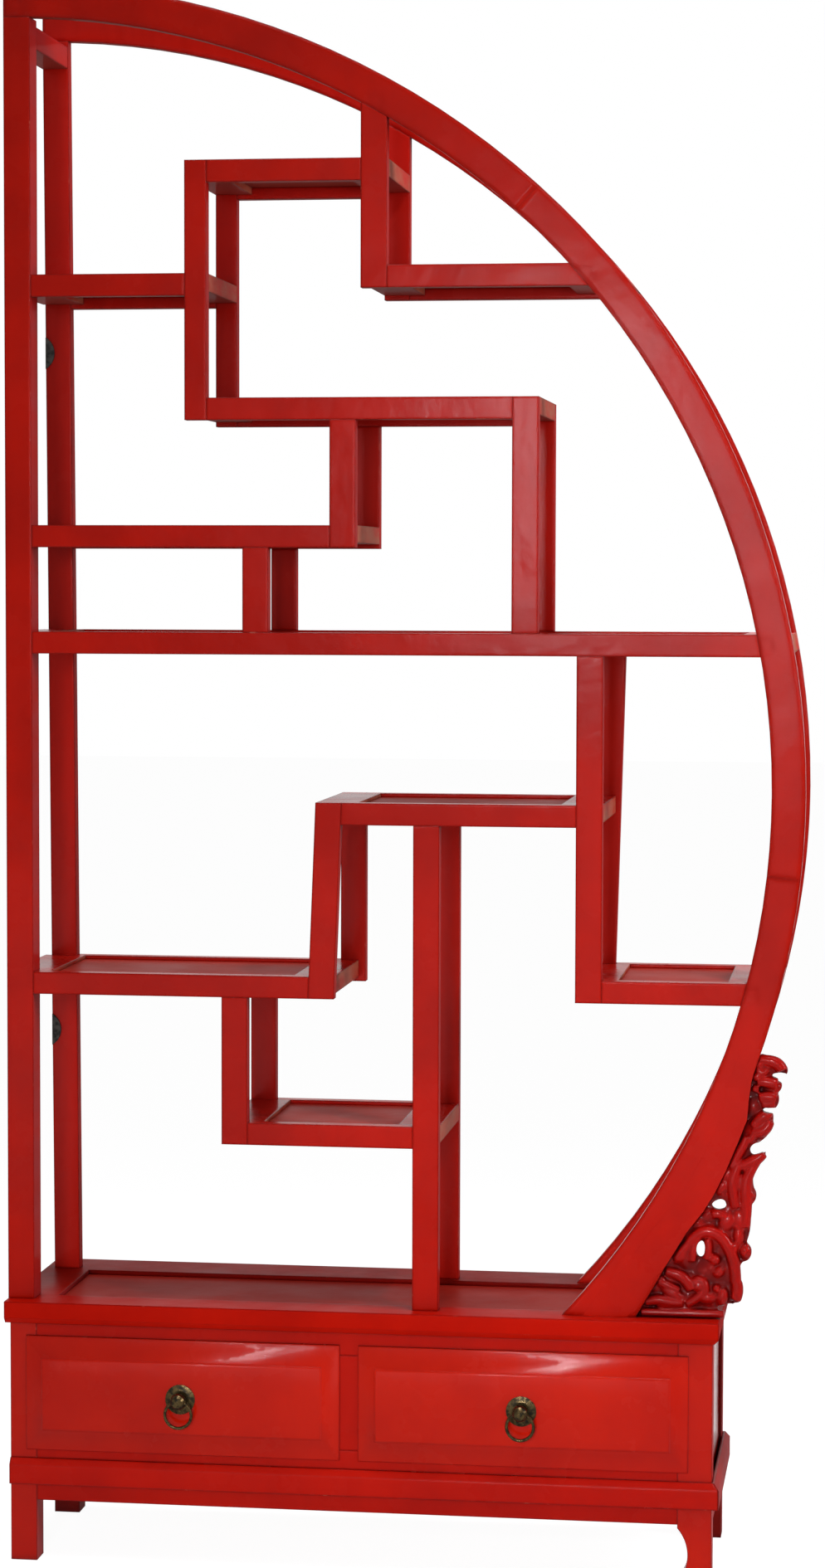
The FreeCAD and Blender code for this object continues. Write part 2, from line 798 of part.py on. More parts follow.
# Chest rails and aprons between the legs
between_legs = (leg_faces["left"][1], leg_faces["right"][0])


def rail_between_legs(side, y, z):
    """A rail tenoned into the two legs of one side."""
    rail = block(between_legs, y, z)
    middle = (y[0] + y[1]) / 2
    half = size("chest_tenon_thickness") / 2
    tenon_x = (between_legs[0] - size("chest_tenon_length"), between_legs[1] + size("chest_tenon_length"))
    tenon = block(tenon_x, (middle - half, middle + half), (z[0] + shoulder, z[1] - shoulder))
    for hand in ("left", "right"):
        leg_mortises[(side, hand)].append(tenon)
    return fuse([rail, tenon])


panel_thickness = size("side_panel_thickness")
panel_inset = size("side_panel_inset")
panel_z = (size("moulding_bottom"), deck_bottom)
back_y = (chest_rear - panel_inset - panel_thickness, chest_rear - panel_inset)
front_rail_y = (chest_front, chest_front + size("chest_rail_depth"))
rear_rail_y = (back_y[0] - size("chest_rail_depth"), back_y[0])
rail_bottom = size("moulding_bottom")
opening_bottom = rail_bottom + size("bottom_rail_height")
opening_top = deck_bottom - size("top_rail_height")
runner_z = (opening_bottom - size("runner_height"), opening_bottom)
top_rail = rail_between_legs(FRONT, front_rail_y, (opening_top, deck_bottom))
bottom_rail = rail_between_legs(FRONT, front_rail_y, (rail_bottom, opening_bottom))
rear_rail = block(between_legs, rear_rail_y, (rail_bottom, runner_z[0]))
apron_z = (size("apron_bottom"), rail_bottom)
front_apron_y = (chest_front, chest_front + size("apron_thickness"))
rear_apron_y = (chest_rear - size("apron_thickness"), chest_rear)
side_apron_y = (leg_spans[FRONT][1], leg_spans[REAR][0])
aprons = [
    block(between_legs, front_apron_y, apron_z),
    block(between_legs, rear_apron_y, apron_z),
    block((chest_left, chest_left + size("apron_thickness")), side_apron_y, apron_z),
    block((chest_right - size("apron_thickness"), chest_right), side_apron_y, apron_z),
]
node("aprons", aprons)

# Centre stile between the drawers, tenoned into the front rails
stile_middle = chest_left + (chest_right - chest_left) * CENTRE_STILE_SHARE
stile_half = size("centre_stile_width") / 2
stile_x = (stile_middle - stile_half, stile_middle + stile_half)
stile_tenon = size("chest_tenon_length")
stile_tenon_z = (opening_bottom - stile_tenon, opening_top + stile_tenon)
stile_tenon_y = (front_rail_y[0] + shoulder, front_rail_y[1] - shoulder)
stile_tenon = block((stile_x[0] + shoulder, stile_x[1] - shoulder), stile_tenon_y, stile_tenon_z)
stile = block(stile_x, front_rail_y, (opening_bottom, opening_top))
node("centre_stile", [fuse([stile, stile_tenon])])
node("chest_rails", [cut(top_rail, [stile_tenon]), cut(bottom_rail, [stile_tenon]), rear_rail])

# Side and back panels, tongued into the legs
tongue_in_leg = size("side_panel_tongue")
side_panel_y = (leg_spans[FRONT][1] - tongue_in_leg, leg_spans[REAR][0] + tongue_in_leg)
left_panel_x = (chest_left + panel_inset, chest_left + panel_inset + panel_thickness)
right_panel_x = (chest_right - panel_inset - panel_thickness, chest_right - panel_inset)
left_panel = block(left_panel_x, side_panel_y, panel_z)
right_panel = block(right_panel_x, side_panel_y, panel_z)
back_panel_x = (between_legs[0] - tongue_in_leg, between_legs[1] + tongue_in_leg)
back_panel = block(back_panel_x, back_y, panel_z)
node("side_panels", [left_panel, right_panel])
node("back_panel", [back_panel])
for side in (FRONT, REAR):
    leg_mortises[(side, "left")].append(left_panel)
    leg_mortises[(side, "right")].append(right_panel)
for hand in ("left", "right"):
    leg_mortises[(REAR, hand)].append(back_panel)
node("front_left_leg", [cut(legs[(FRONT, "left")], leg_mortises[(FRONT, "left")])])
node("front_right_leg", [cut(legs[(FRONT, "right")], leg_mortises[(FRONT, "right")])])
node("rear_legs", [cut(legs[(REAR, hand)], leg_mortises[(REAR, hand)]) for hand in ("left", "right")])

# Base moulding round the front, open side and rear, mitred at its two corners
moulding_top = rail_bottom + size("moulding_height")
moulding_bevel = moulding_top - size("moulding_bevel_height")
moulding_x = (chest_left, chest_right + size("moulding_reach"))
moulding_y = (chest_front - size("moulding_reach"), chest_rear + size("moulding_reach"))
moulding_inset = size("moulding_bevel_inset")
moulding_form = cut(
    fuse([
        block(moulding_x, moulding_y, (rail_bottom, moulding_bevel)),
        taper(
            moulding_x,
            moulding_y,
            (moulding_bevel, moulding_top),
            (moulding_x[0], moulding_x[1] - moulding_inset),
            (moulding_y[0] + moulding_inset, moulding_y[1] - moulding_inset),
        ),
    ]),
    [block((chest_left, chest_right), (chest_front, chest_rear), (rail_bottom, moulding_top))],
)


def mitre(y, angle):
    """A block whose edge runs at a mitre through a corner of the moulding."""
    item = block((0, deck_right), (0, deck_right), (rail_bottom, moulding_top))
    turn(item, (0, 0, 1), angle)
    place(item, moulding_x[1], y, rail_bottom)
    return item


front_side = block(moulding_x, (moulding_y[0], chest_front), (rail_bottom, moulding_top))
rear_side = block(moulding_x, (chest_rear, moulding_y[1]), (rail_bottom, moulding_top))
front_strip = common(common(moulding_form, front_side), mitre(moulding_y[0], 135))
rear_strip = common(common(moulding_form, rear_side), mitre(moulding_y[1], 135))
side_strip = cut(moulding_form, [front_strip, rear_strip])
node("base_moulding", [front_strip, side_strip, rear_strip])

# Drawer runners with guides, from the front rail to the back panel
runner_y = (front_rail_y[1], back_y[0])
guide_z = (runner_z[1], runner_z[1] + size("guide_height"))
left_guide_x = (between_legs[0] - size("guide_width"), between_legs[0])
right_guide_x = (between_legs[1], between_legs[1] + size("guide_width"))
runner_width = size("runner_width")
guide_y = (leg_spans[FRONT][1], leg_spans[REAR][0])
runners = [
    fuse([
        block((between_legs[0], between_legs[0] + runner_width), runner_y, runner_z),
        block(left_guide_x, guide_y, (runner_z[0], guide_z[1])),
    ]),
    fuse([
        block((stile_x[0] - runner_width, stile_x[1] + runner_width), runner_y, runner_z),
        block(stile_x, runner_y, guide_z),
    ]),
    fuse([
        block((between_legs[1] - runner_width, between_legs[1]), runner_y, runner_z),
        block(right_guide_x, guide_y, (runner_z[0], guide_z[1])),
    ]),
]
node("drawer_runners", runners)


# Drawers
def rectangle(body, width, height, inset=0):
    """A rectangle on the body's front plane, its lower left corner inset from the origin."""
    sketch = body.newObject("Sketcher::SketchObject", "Outline")
    front_plane = next(plane for plane in body.Origin.OriginFeatures if plane.Role == "XZ_Plane")
    sketch.AttachmentSupport = (front_plane, [""])
    sketch.MapMode = "FlatFace"
    left = value_of(inset)
    right = left + value_of(width)
    top = left + value_of(height)
    corners = [FreeCAD.Vector(x, z, 0) for x, z in ((left, left), (right, left), (right, top), (left, top))]
    for index, corner in enumerate(corners):
        sketch.addGeometry(Part.LineSegment(corner, corners[(index + 1) % len(corners)]), False)
    for index in range(len(corners)):
        sketch.addConstraint(Sketcher.Constraint("Coincident", index, 2, (index + 1) % len(corners), 1))
    for index, way in enumerate(("Horizontal", "Vertical", "Horizontal", "Vertical")):
        sketch.addConstraint(Sketcher.Constraint(way, index))
    spans = [(("DistanceX", 0, 1, 0, 2), width), (("DistanceY", 1, 1, 1, 2), height)]
    if isinstance(inset, Size):
        spans += [(("DistanceX", -1, 1, 0, 1), inset), (("DistanceY", -1, 1, 0, 1), inset)]
    else:
        sketch.addConstraint(Sketcher.Constraint("Coincident", 0, 1, -1, 1))
    for ends, length in spans:
        number = sketch.addConstraint(Sketcher.Constraint(*ends, value_of(length)))
        sketch.setExpression(f"Constraints[{number}]", formula_of(length))
    return sketch


def pad(body, sketch, length, backwards=False):
    """Grow a sketch to the front, or to the back."""
    feature = body.newObject("PartDesign::Pad", "Pad")
    feature.Profile = sketch
    feature.Length = value_of(length)
    feature.Reversed = backwards
    bind(feature, "Length", length)
    return feature


def fielded_front(x, z):
    """A lipped drawer front: rounded border, raised field and a block behind that enters the opening."""
    lip = size("drawer_lip")
    border = size("drawer_border")
    width = x[1] - x[0]
    height = z[1] - z[0]
    body = doc.addObject("PartDesign::Body", "DrawerFront")
    slab = pad(body, rectangle(body, width, height), size("drawer_front_thickness"))
    doc.recompute()
    front = -slab.Length.Value
    edges = []
    for number, edge in enumerate(slab.Shape.Edges, 1):
        ends_y = [vertex.Y for vertex in edge.Vertexes]
        if all(math.isclose(y, front, abs_tol=Part.Precision.confusion()) for y in ends_y):
            edges.append(f"Edge{number}")
    rounding = body.newObject("PartDesign::Fillet", "Rounding")
    rounding.Base = (slab, edges)
    rounding.Radius = SIZES["drawer_edge_round"]
    bind(rounding, "Radius", size("drawer_edge_round"))
    field = rectangle(body, width - border - border, height - border - border, border)
    pad(body, field, size("drawer_front_thickness") + size("drawer_field_raise"))
    side = lip + size("drawer_side_gap") + size("drawer_side_thickness")
    block_width = width - side - side
    block_height = height - side - side
    pad(body, rectangle(body, block_width, block_height, side), size("drawer_block_thickness"), True)
    place(body, x[0], lip_back, z[0])
    return body


def turned_ball(x, z):
    """The pull's ball, turned in bands."""
    radius = size("eye_radius")
    bands = []
    for (start, start_radius), (end, end_radius) in zip(BALL_SHARES, BALL_SHARES[1:]):
        radii = (radius * start_radius, radius * end_radius)
        bands.append(cone((1, 0, 0), 90, (x, eye_y - radius * start, z), radii, radius * (end - start)))
    return fuse(bands)


def eye_hole(x, z):
    """The hole across the ball: a short throat that flares to both sides."""
    half = size("eye_throat_length") / 2
    throat = doc.addObject("Part::Cylinder", "Throat")
    turn(throat, (0, 1, 0), 90)
    bind(throat, "Radius", size("eye_throat_radius"))
    bind(throat, "Height", size("eye_throat_length"))
    place(throat, x - half, eye_y, z)
    radii = (size("eye_throat_radius"), size("eye_mouth_radius"))
    length = size("eye_radius") - half
    right = cone((0, 1, 0), 90, (x + half, eye_y, z), radii, length)
    left = cone((0, 1, 0), -90, (x - half, eye_y, z), radii, length)
    return [throat, right, left]


def pull_ring(x, z):
    """A ring whose wire hangs in the eye."""
    section = doc.addObject("Part::RegularPolygon", "RingSection")
    section.Polygon = RING_SECTION_SIDES
    bind(section, "Circumradius", size("ring_wire_radius"))
    middle = z - size("ring_radius")
    place(section, x + size("ring_radius"), eye_y, middle)
    ring = doc.addObject("Part::Revolution", "Ring")
    ring.Source = section
    ring.Axis = FreeCAD.Vector(0, 1, 0)
    ring.Solid = True
    for axis, length in zip("xyz", (x, eye_y, middle)):
        bind(ring, f"Base.{axis}", length)
    return ring


def ring_pull(hand, x, z, hole_back):
    """Back plate, eye pin and ring of one drawer; returns the hole for the pin."""
    plate_rim = field_front - size("plate_rim_thickness")
    shank_hole = size("shank_radius") + size("shank_fit")
    hole = disc(x, z, shank_hole, (plate_front, hole_back))
    crown_radii = (size("plate_radius"), size("plate_crown_radius"))
    crown = cone((1, 0, 0), 90, (x, plate_rim, z), crown_radii, size("plate_crown_height"))
    plate = cut(fuse([disc(x, z, size("plate_radius"), (plate_rim, field_front)), crown]), [hole])
    node(f"{hand}_pull_plate", [plate])
    eye = cut(turned_ball(x, z), eye_hole(x, z))
    shank_start = eye_y + (size("eye_radius") + size("eye_throat_radius")) / 2
    shank = disc(x, z, size("shank_radius"), (shank_start, hole_back + size("tail_thickness")))
    half_width = size("tail_width") / 2
    tails = block(
        (x - half_width, x + half_width),
        (hole_back, hole_back + size("tail_thickness")),
        (z - size("tail_length"), z + size("tail_length")),
    )
    node(f"{hand}_pull_pin", [fuse([eye, shank, tails])])
    node(f"{hand}_pull_ring", [pull_ring(x, z)])
    return hole


def drawer(hand, opening_x):
    """One drawer: front, sides with back, bottom and pull."""
    lip = size("drawer_lip")
    gap = size("drawer_side_gap")
    wall = size("drawer_side_thickness")
    front_x = (opening_x[0] - lip, opening_x[1] + lip)
    front_z = (opening_bottom - lip, opening_top + lip)
    box_x = (opening_x[0] + gap, opening_x[1] - gap)
    inside_x = (box_x[0] + wall, box_x[1] - wall)
    box_z = (opening_bottom + size("running_gap"), opening_top - size("drawer_top_gap"))
    box_y = (lip_back, back_y[0] - size("drawer_rear_gap"))
    block_back = lip_back + size("drawer_block_thickness")
    bottom_z0 = box_z[0] + size("drawer_bottom_lift")
    bottom_z = (bottom_z0, bottom_z0 + size("drawer_bottom_thickness"))
    groove = size("drawer_groove")
    bottom_x = (inside_x[0] - groove, inside_x[1] + groove)
    back_start = box_y[1] - size("drawer_back_thickness")
    bottom = block(bottom_x, (block_back, box_y[1]), bottom_z)
    back = block(inside_x, (back_start, box_y[1]), (bottom_z[1], box_z[1]))
    sides = []
    for wall_x in ((box_x[0], inside_x[0]), (inside_x[1], box_x[1])):
        sides.append(cut(block(wall_x, box_y, box_z), [bottom]))
    hole = ring_pull(
        hand, (front_x[0] + front_x[1]) / 2, (front_z[0] + front_z[1]) / 2, block_back)
    node(f"{hand}_drawer_front", [cut(fielded_front(front_x, front_z), [hole])])
    node(f"{hand}_drawer_sides", sides + [back])
    node(f"{hand}_drawer_bottom", [bottom])


drawer("left", (between_legs[0], stile_x[0]))
drawer("right", (stile_x[1], between_legs[1]))


# Carved spandrel between the front rim's flared foot and the deck
spandrel_height = rim_rise * SPANDREL_HEIGHT_SHARE
spandrel_reach = (flare_reach(deck_top + spandrel_height) - rim_foot_out) * SPANDREL_REACH_SHARE


def carving_point(across_share, up_share, y):
    """A point of the carving from its shares."""
    x = rim_foot_out + spandrel_reach * across_share
    z = deck_top + spandrel_height * up_share
    return FreeCAD.Vector(x.value, y, z.value)


def carved_blank():
    """The carving's outline, its openings and its raised scroll."""
    front = SIZES["spandrel_setback"]
    through = FreeCAD.Vector(0, SIZES["spandrel_thickness"], 0)
    corners = [carving_point(*SPANDREL_BACK_SHARES[1], front)]
    corners += [carving_point(*share, front) for share in SPANDREL_FOOT_SHARES]
    edges = [Part.LineSegment(start, end).toShape() for start, end in zip(corners, corners[1:])]
    start = corners[-1]
    for mid_x, mid_z, end_x, end_z in SPANDREL_ARC_SHARES:
        end = carving_point(end_x, end_z, front)
        edges.append(Part.Arc(start, carving_point(mid_x, mid_z, front), end).toShape())
        start = end
    head = carving_point(*SPANDREL_BACK_SHARES[0], front)
    edges.append(Part.LineSegment(start, head).toShape())
    edges.append(Part.LineSegment(head, corners[0]).toShape())
    shape = Part.Face(Part.Wire(edges)).extrude(through)
    facing = FreeCAD.Vector(0, -1, 0)
    centre = carving_point(*SCROLL_CENTRE_SHARES, front)
    raise_by = SIZES["scroll_raise"]
    outer = Part.makeCylinder(SIZES["scroll_radius"], raise_by, centre, facing, SCROLL_TURN_ANGLE)
    inner_radius = SIZES["scroll_radius"] - SIZES["scroll_band"]
    scroll = outer.cut(Part.makeCylinder(inner_radius, raise_by, centre, facing))
    scroll.rotate(centre, facing, SCROLL_START_ANGLE)
    eye = Part.makeCylinder(SIZES["scroll_eye_radius"], SIZES["scroll_raise"], centre, facing)
    shape = shape.fuse([scroll, eye])
    for across, up, long_share, short_share, tilt in SPANDREL_OPENING_SHARES:
        middle = carving_point(across, up, front - SIZES["scroll_raise"])
        long_axis = long_share * spandrel_reach.value
        short_axis = short_share * spandrel_reach.value
        oval = Part.Ellipse(FreeCAD.Vector(), long_axis, short_axis).toShape()
        oval.rotate(FreeCAD.Vector(), FreeCAD.Vector(0, 0, 1), tilt)
        oval.rotate(FreeCAD.Vector(), FreeCAD.Vector(1, 0, 0), 90)
        oval.translate(middle)
        depth = through + FreeCAD.Vector(0, SIZES["scroll_raise"], 0)
        shape = shape.cut(Part.Face(Part.Wire([oval])).extrude(depth))
    return shape


blank = doc.addObject("Part::Feature", "CarvedBlank")
blank.Shape = carved_blank()
spandrel_y = (
    size("spandrel_setback") - size("scroll_raise"),
    size("spandrel_setback") + size("spandrel_thickness"),
)
node("carved_spandrel", [cut(blank, [disc(flare_x, flare_z, flare_radius, spandrel_y)])])

# Joining plates let onto the rear left post at its meeting edge
plates = []
plate_back = unit_depth - stick_depth
plate_y = (plate_back - size("joining_plate_thickness"), plate_back)
plate_radius = size("joining_plate_radius")
for rise_share in JOINING_PLATE_RISE_SHARES:
    plate_z = rim_centre + rim_radius * rise_share
    plate_x = post_lean * (rim_top - plate_z) / (rim_top - deck_top)
    oval = disc(plate_x + size("joining_plate_reach") - plate_radius, plate_z, plate_radius, plate_y)
    rise = (plate_z - plate_radius, plate_z + plate_radius)
    plates.append(common(oval, block((plate_x, plate_x + plate_radius), plate_y, rise)))
node("joining_plates", plates)

doc.recompute()

# Nothing is written unless every object is sound
for item in doc.Objects:
    if "Invalid" in item.State or "Error" in item.State:
        raise RuntimeError(f"{item.Name} ({item.Label}): {item.State}")
for label, item in nodes.items():
    if item.Shape.isNull() or not item.Shape.isValid() or not item.Shape.Solids:
        raise RuntimeError(f"{label} has no sound solid")

os.makedirs("parts", exist_ok=True)
for label, item in nodes.items():
    item.Shape.exportStep(f"parts/{label}.step")
print(f"{len(nodes)} nodes")
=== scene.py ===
"""Looks of a half-moon lacquered etagere on a two-drawer chest."""
import json
import logging
import math
from dataclasses import dataclass, field
from enum import Enum
from typing import Dict, Sequence, Tuple

import bpy
from mathutils import Matrix, Vector


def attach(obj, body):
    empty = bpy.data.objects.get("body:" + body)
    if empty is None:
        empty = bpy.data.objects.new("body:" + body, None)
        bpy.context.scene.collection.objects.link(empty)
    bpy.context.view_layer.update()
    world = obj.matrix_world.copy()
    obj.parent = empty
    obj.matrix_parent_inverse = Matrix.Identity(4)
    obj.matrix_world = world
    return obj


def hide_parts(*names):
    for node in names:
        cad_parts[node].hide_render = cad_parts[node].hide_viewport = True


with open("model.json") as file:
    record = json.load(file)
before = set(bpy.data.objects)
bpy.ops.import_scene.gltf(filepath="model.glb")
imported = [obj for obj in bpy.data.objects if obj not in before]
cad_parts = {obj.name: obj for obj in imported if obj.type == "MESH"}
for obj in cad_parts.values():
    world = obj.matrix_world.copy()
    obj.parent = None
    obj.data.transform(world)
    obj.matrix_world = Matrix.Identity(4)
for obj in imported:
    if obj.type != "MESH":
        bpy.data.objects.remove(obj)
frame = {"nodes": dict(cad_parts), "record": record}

logging.basicConfig(level=logging.INFO, format="%(message)s")
LOG = logging.getLogger("etagere")

Colour = Tuple[float, float, float]
Place = Tuple[float, float, float]
Pairs = Tuple[Tuple[float, float], ...]
Socket = bpy.types.NodeSocket

FULL_LEVEL = 255.0
CURVE_KNEE, CURVE_SLOPE, CURVE_OFFSET, CURVE_POWER = 0.04045, 12.92, 0.055, 2.4
EVEN: Place = (1.0, 1.0, 1.0)
RIGHT: Place = (1.0, 0.0, 0.0)
FORWARD: Place = (0.0, -1.0, 0.0)
UP: Place = (0.0, 0.0, 1.0)
DOWN: Place = (0.0, 0.0, -1.0)
SHADER_SAMPLES = 6
NOISE_ROUGHNESS = 0.55
EDGE_FROM, EDGE_FULL = 0.01, 0.16
MERGE_DISTANCE = 0.00001
SMOOTH_ANGLE = math.radians(30.0)
QUARTER_TURN = math.radians(90.0)


def linear(red: int, green: int, blue: int) -> Colour:
    """Turn a colour from the paint chart into linear light.

    Args:
        red: red from 0 to 255.
        green: green from 0 to 255.
        blue: blue from 0 to 255.

    Returns:
        The colour in linear light.
    """
    shares = []
    for level in (red, green, blue):
        share = level / FULL_LEVEL
        if share <= CURVE_KNEE:
            shares.append(share / CURVE_SLOPE)
        else:
            shares.append(((share + CURVE_OFFSET) / (1.0 + CURVE_OFFSET)) ** CURVE_POWER)
    return shares[0], shares[1], shares[2]


def enter(name: str, data: bpy.types.ID) -> bpy.types.Object:
    """Bring new data into the scene.

    Args:
        name: the new object's name.
        data: its mesh, curve, light or camera.

    Returns:
        The new object.
    """
    item = bpy.data.objects.new(name, data)
    bpy.context.scene.collection.objects.link(item)
    return item


def only(item: bpy.types.Object) -> None:
    """Make an object the active one and the only one selected.

    Args:
        item: the object to work on.
    """
    bpy.ops.object.select_all(action="DESELECT")
    item.select_set(True)
    bpy.context.view_layer.objects.active = item


def rear_of(node: bpy.types.Object, name: str, plane_y: float) -> bpy.types.Object:
    """Copy a solid and keep what lies behind a plane.

    Args:
        node: the solid, which stays as it is.
        name: the copy's name.
        plane_y: where the plane stands, in metres.

    Returns:
        The copy, closed at the plane.
    """
    item = enter(name, node.data.copy())
    only(item)
    bpy.ops.object.mode_set(mode="EDIT")
    bpy.ops.mesh.select_all(action="SELECT")
    bpy.ops.mesh.remove_doubles(threshold=MERGE_DISTANCE)
    bpy.ops.mesh.bisect(
        plane_co=(0.0, plane_y, 0.0), plane_no=FORWARD, use_fill=True, clear_outer=True
    )
    bpy.ops.object.mode_set(mode="OBJECT")
    return item


def seen_directly(tree: bpy.types.NodeTree) -> Socket:
    """Tell what is looked at from what only gives light.

    Args:
        tree: the node tree that asks.

    Returns:
        A socket that is 1 for the camera, a reflection or a clear piece, and 0 for light.
    """
    path = tree.nodes.new("ShaderNodeLightPath")
    seen = path.outputs["Is Camera Ray"]
    for ray in ("Is Glossy Ray", "Is Transmission Ray"):
        either = tree.nodes.new("ShaderNodeMath")
        either.operation = "MAXIMUM"
        tree.links.new(seen, either.inputs[0])
        tree.links.new(path.outputs[ray], either.inputs[1])
        seen = either.outputs[0]
    return seen


@dataclass(frozen=True)
class Pattern:
    """A noise: cells to a metre, octaves, what becomes 0 and 1, and its fineness along each axis."""

    cells: float
    octaves: float
    low: float = 0.0
    high: float = 1.0
    stretch: Place = EVEN


class NodeSheet:
    """A material's node tree with short helpers."""

    def __init__(self, name: str) -> None:
        """Start an empty material of that name."""
        self.material = bpy.data.materials.new(name)
        self.material.use_nodes = True
        self.tree = self.material.node_tree
        self.tree.nodes.clear()
        self.output = self.tree.nodes.new("ShaderNodeOutputMaterial")

    def add(self, kind: str, **settings: object) -> bpy.types.Node:
        """Add a node.

        Args:
            kind: the node's type without its ShaderNode prefix.
            settings: properties of the node.

        Returns:
            The new node.
        """
        node = self.tree.nodes.new("ShaderNode" + kind)
        for key, value in settings.items():
            setattr(node, key, value)
        return node

    def feed(self, socket: Socket, value: object) -> None:
        """Link a socket to another, or set its value."""
        if isinstance(value, Socket):
            self.tree.links.new(value, socket)
        elif isinstance(value, tuple) and len(value) == 3 and socket.type == "RGBA":
            socket.default_value = (*value, 1.0)
        else:
            socket.default_value = value

    def place(self, scale: Sequence[float] = EVEN) -> Socket:
        """Object coordinates, stretched by a scale.

        Args:
            scale: how much finer the pattern is along each axis.

        Returns:
            The coordinate socket.
        """
        coordinates = self.add("TexCoord")
        mapping = self.add("Mapping")
        self.feed(mapping.inputs["Scale"], tuple(scale))
        self.feed(mapping.inputs["Vector"], coordinates.outputs["Object"])
        return mapping.outputs["Vector"]

    def noise(self, pattern: Pattern) -> Socket:
        """A noise over the piece, as it comes.

        Args:
            pattern: its cells, octaves and stretch.

        Returns:
            The noise's value socket.
        """
        node = self.add("TexNoise")
        self.feed(node.inputs["Vector"], self.place(pattern.stretch))
        self.feed(node.inputs["Scale"], pattern.cells)
        self.feed(node.inputs["Detail"], pattern.octaves)
        self.feed(node.inputs["Roughness"], NOISE_ROUGHNESS)
        return node.outputs["Fac"]

    def ramp(self, value: Socket, low: float, high: float) -> Socket:
        """Stretch a value so that low gives 0 and high gives 1.

        Args:
            value: the value to stretch.
            low: what becomes 0.
            high: what becomes 1.

        Returns:
            The stretched value socket.
        """
        node = self.add("MapRange", interpolation_type="SMOOTHSTEP")
        self.feed(node.inputs["Value"], value)
        self.feed(node.inputs["From Min"], low)
        self.feed(node.inputs["From Max"], high)
        return node.outputs["Result"]

    def patches(self, pattern: Pattern) -> Socket:
        """A noise over the piece, stretched to its range.

        Args:
            pattern: the noise and its range.

        Returns:
            The stretched value socket.
        """
        return self.ramp(self.noise(pattern), pattern.low, pattern.high)

    def reckon(self, operation: str, first: object, second: object) -> Socket:
        """One sum on two values.

        Args:
            operation: the operation's name.
            first: a socket or a number.
            second: a socket or a number.

        Returns:
            The result's socket.
        """
        node = self.add("Math", operation=operation)
        self.feed(node.inputs[0], first)
        self.feed(node.inputs[1], second)
        return node.outputs[0]

    def times(self, first: object, second: object) -> Socket:
        """The product of two values, each a socket or a number."""
        return self.reckon("MULTIPLY", first, second)

    def mix(self, share: object, first: object, second: object) -> Socket:
        """Mix two colours.

        Args:
            share: how much of the second colour.
            first: a colour or a socket.
            second: a colour or a socket.

        Returns:
            The mixed colour's socket.
        """
        node = self.add("Mix", data_type="RGBA", blend_type="MIX")
        self.feed(node.inputs["Factor"], share)
        self.feed(node.inputs["A"], first)
        self.feed(node.inputs["B"], second)
        return node.outputs["Result"]

    def rounded(self, radius: float) -> Socket:
        """The normal of the piece with its edges rounded to a radius in metres."""
        node = self.add("Bevel", samples=SHADER_SAMPLES)
        self.feed(node.inputs["Radius"], radius)
        return node.outputs["Normal"]

    def cosine(self, way: object) -> Socket:
        """The cosine between a face's own normal and a direction.

        Args:
            way: a direction of length 1, or its socket.

        Returns:
            The cosine's socket.
        """
        geometry = self.add("NewGeometry")
        dot = self.add("VectorMath", operation="DOT_PRODUCT")
        self.feed(dot.inputs[0], geometry.outputs["Normal"])
        self.feed(dot.inputs[1], way)
        return dot.outputs["Value"]

    def worn_edge(self, radius: float) -> Socket:
        """Find the edges of a piece.

        Args:
            radius: how wide an edge is, in metres.

        Returns:
            A socket that is 1 on an edge and 0 on a flat face.
        """
        bend = self.reckon("SUBTRACT", 1.0, self.cosine(self.rounded(radius)))
        return self.ramp(bend, EDGE_FROM, EDGE_FULL)

    def facing(self, way: Place, low: float, high: float) -> Socket:
        """Find the faces that look one way.

        Args:
            way: the direction, of length 1.
            low: the cosine at which a face starts to count.
            high: the cosine at which it counts in full.

        Returns:
            A socket from 0 to 1.
        """
        return self.ramp(self.cosine(way), low, high)

    def soft_normal(self, height: Socket, depth: float, radius: float) -> Socket:
        """A bump on slightly rounded edges.

        Args:
            height: the bump's height socket.
            depth: the bump's depth in metres.
            radius: the edge's radius in metres.

        Returns:
            The normal's socket.
        """
        bump = self.add("Bump")
        self.feed(bump.inputs["Strength"], 1.0)
        self.feed(bump.inputs["Distance"], depth)
        self.feed(bump.inputs["Height"], height)
        self.feed(bump.inputs["Normal"], self.rounded(radius))
        return bump.outputs["Normal"]

    def surface(self, **sockets: object) -> bpy.types.Material:
        """Finish with one surface shader.

        Args:
            sockets: the shader's inputs, with spaces written as underscores.

        Returns:
            The finished material.
        """
        shader = self.add("BsdfPrincipled")
        for key, value in sockets.items():
            self.feed(shader.inputs[key.replace("_", " ")], value)
        self.feed(self.output.inputs["Surface"], shader.outputs["BSDF"])
        return self.material


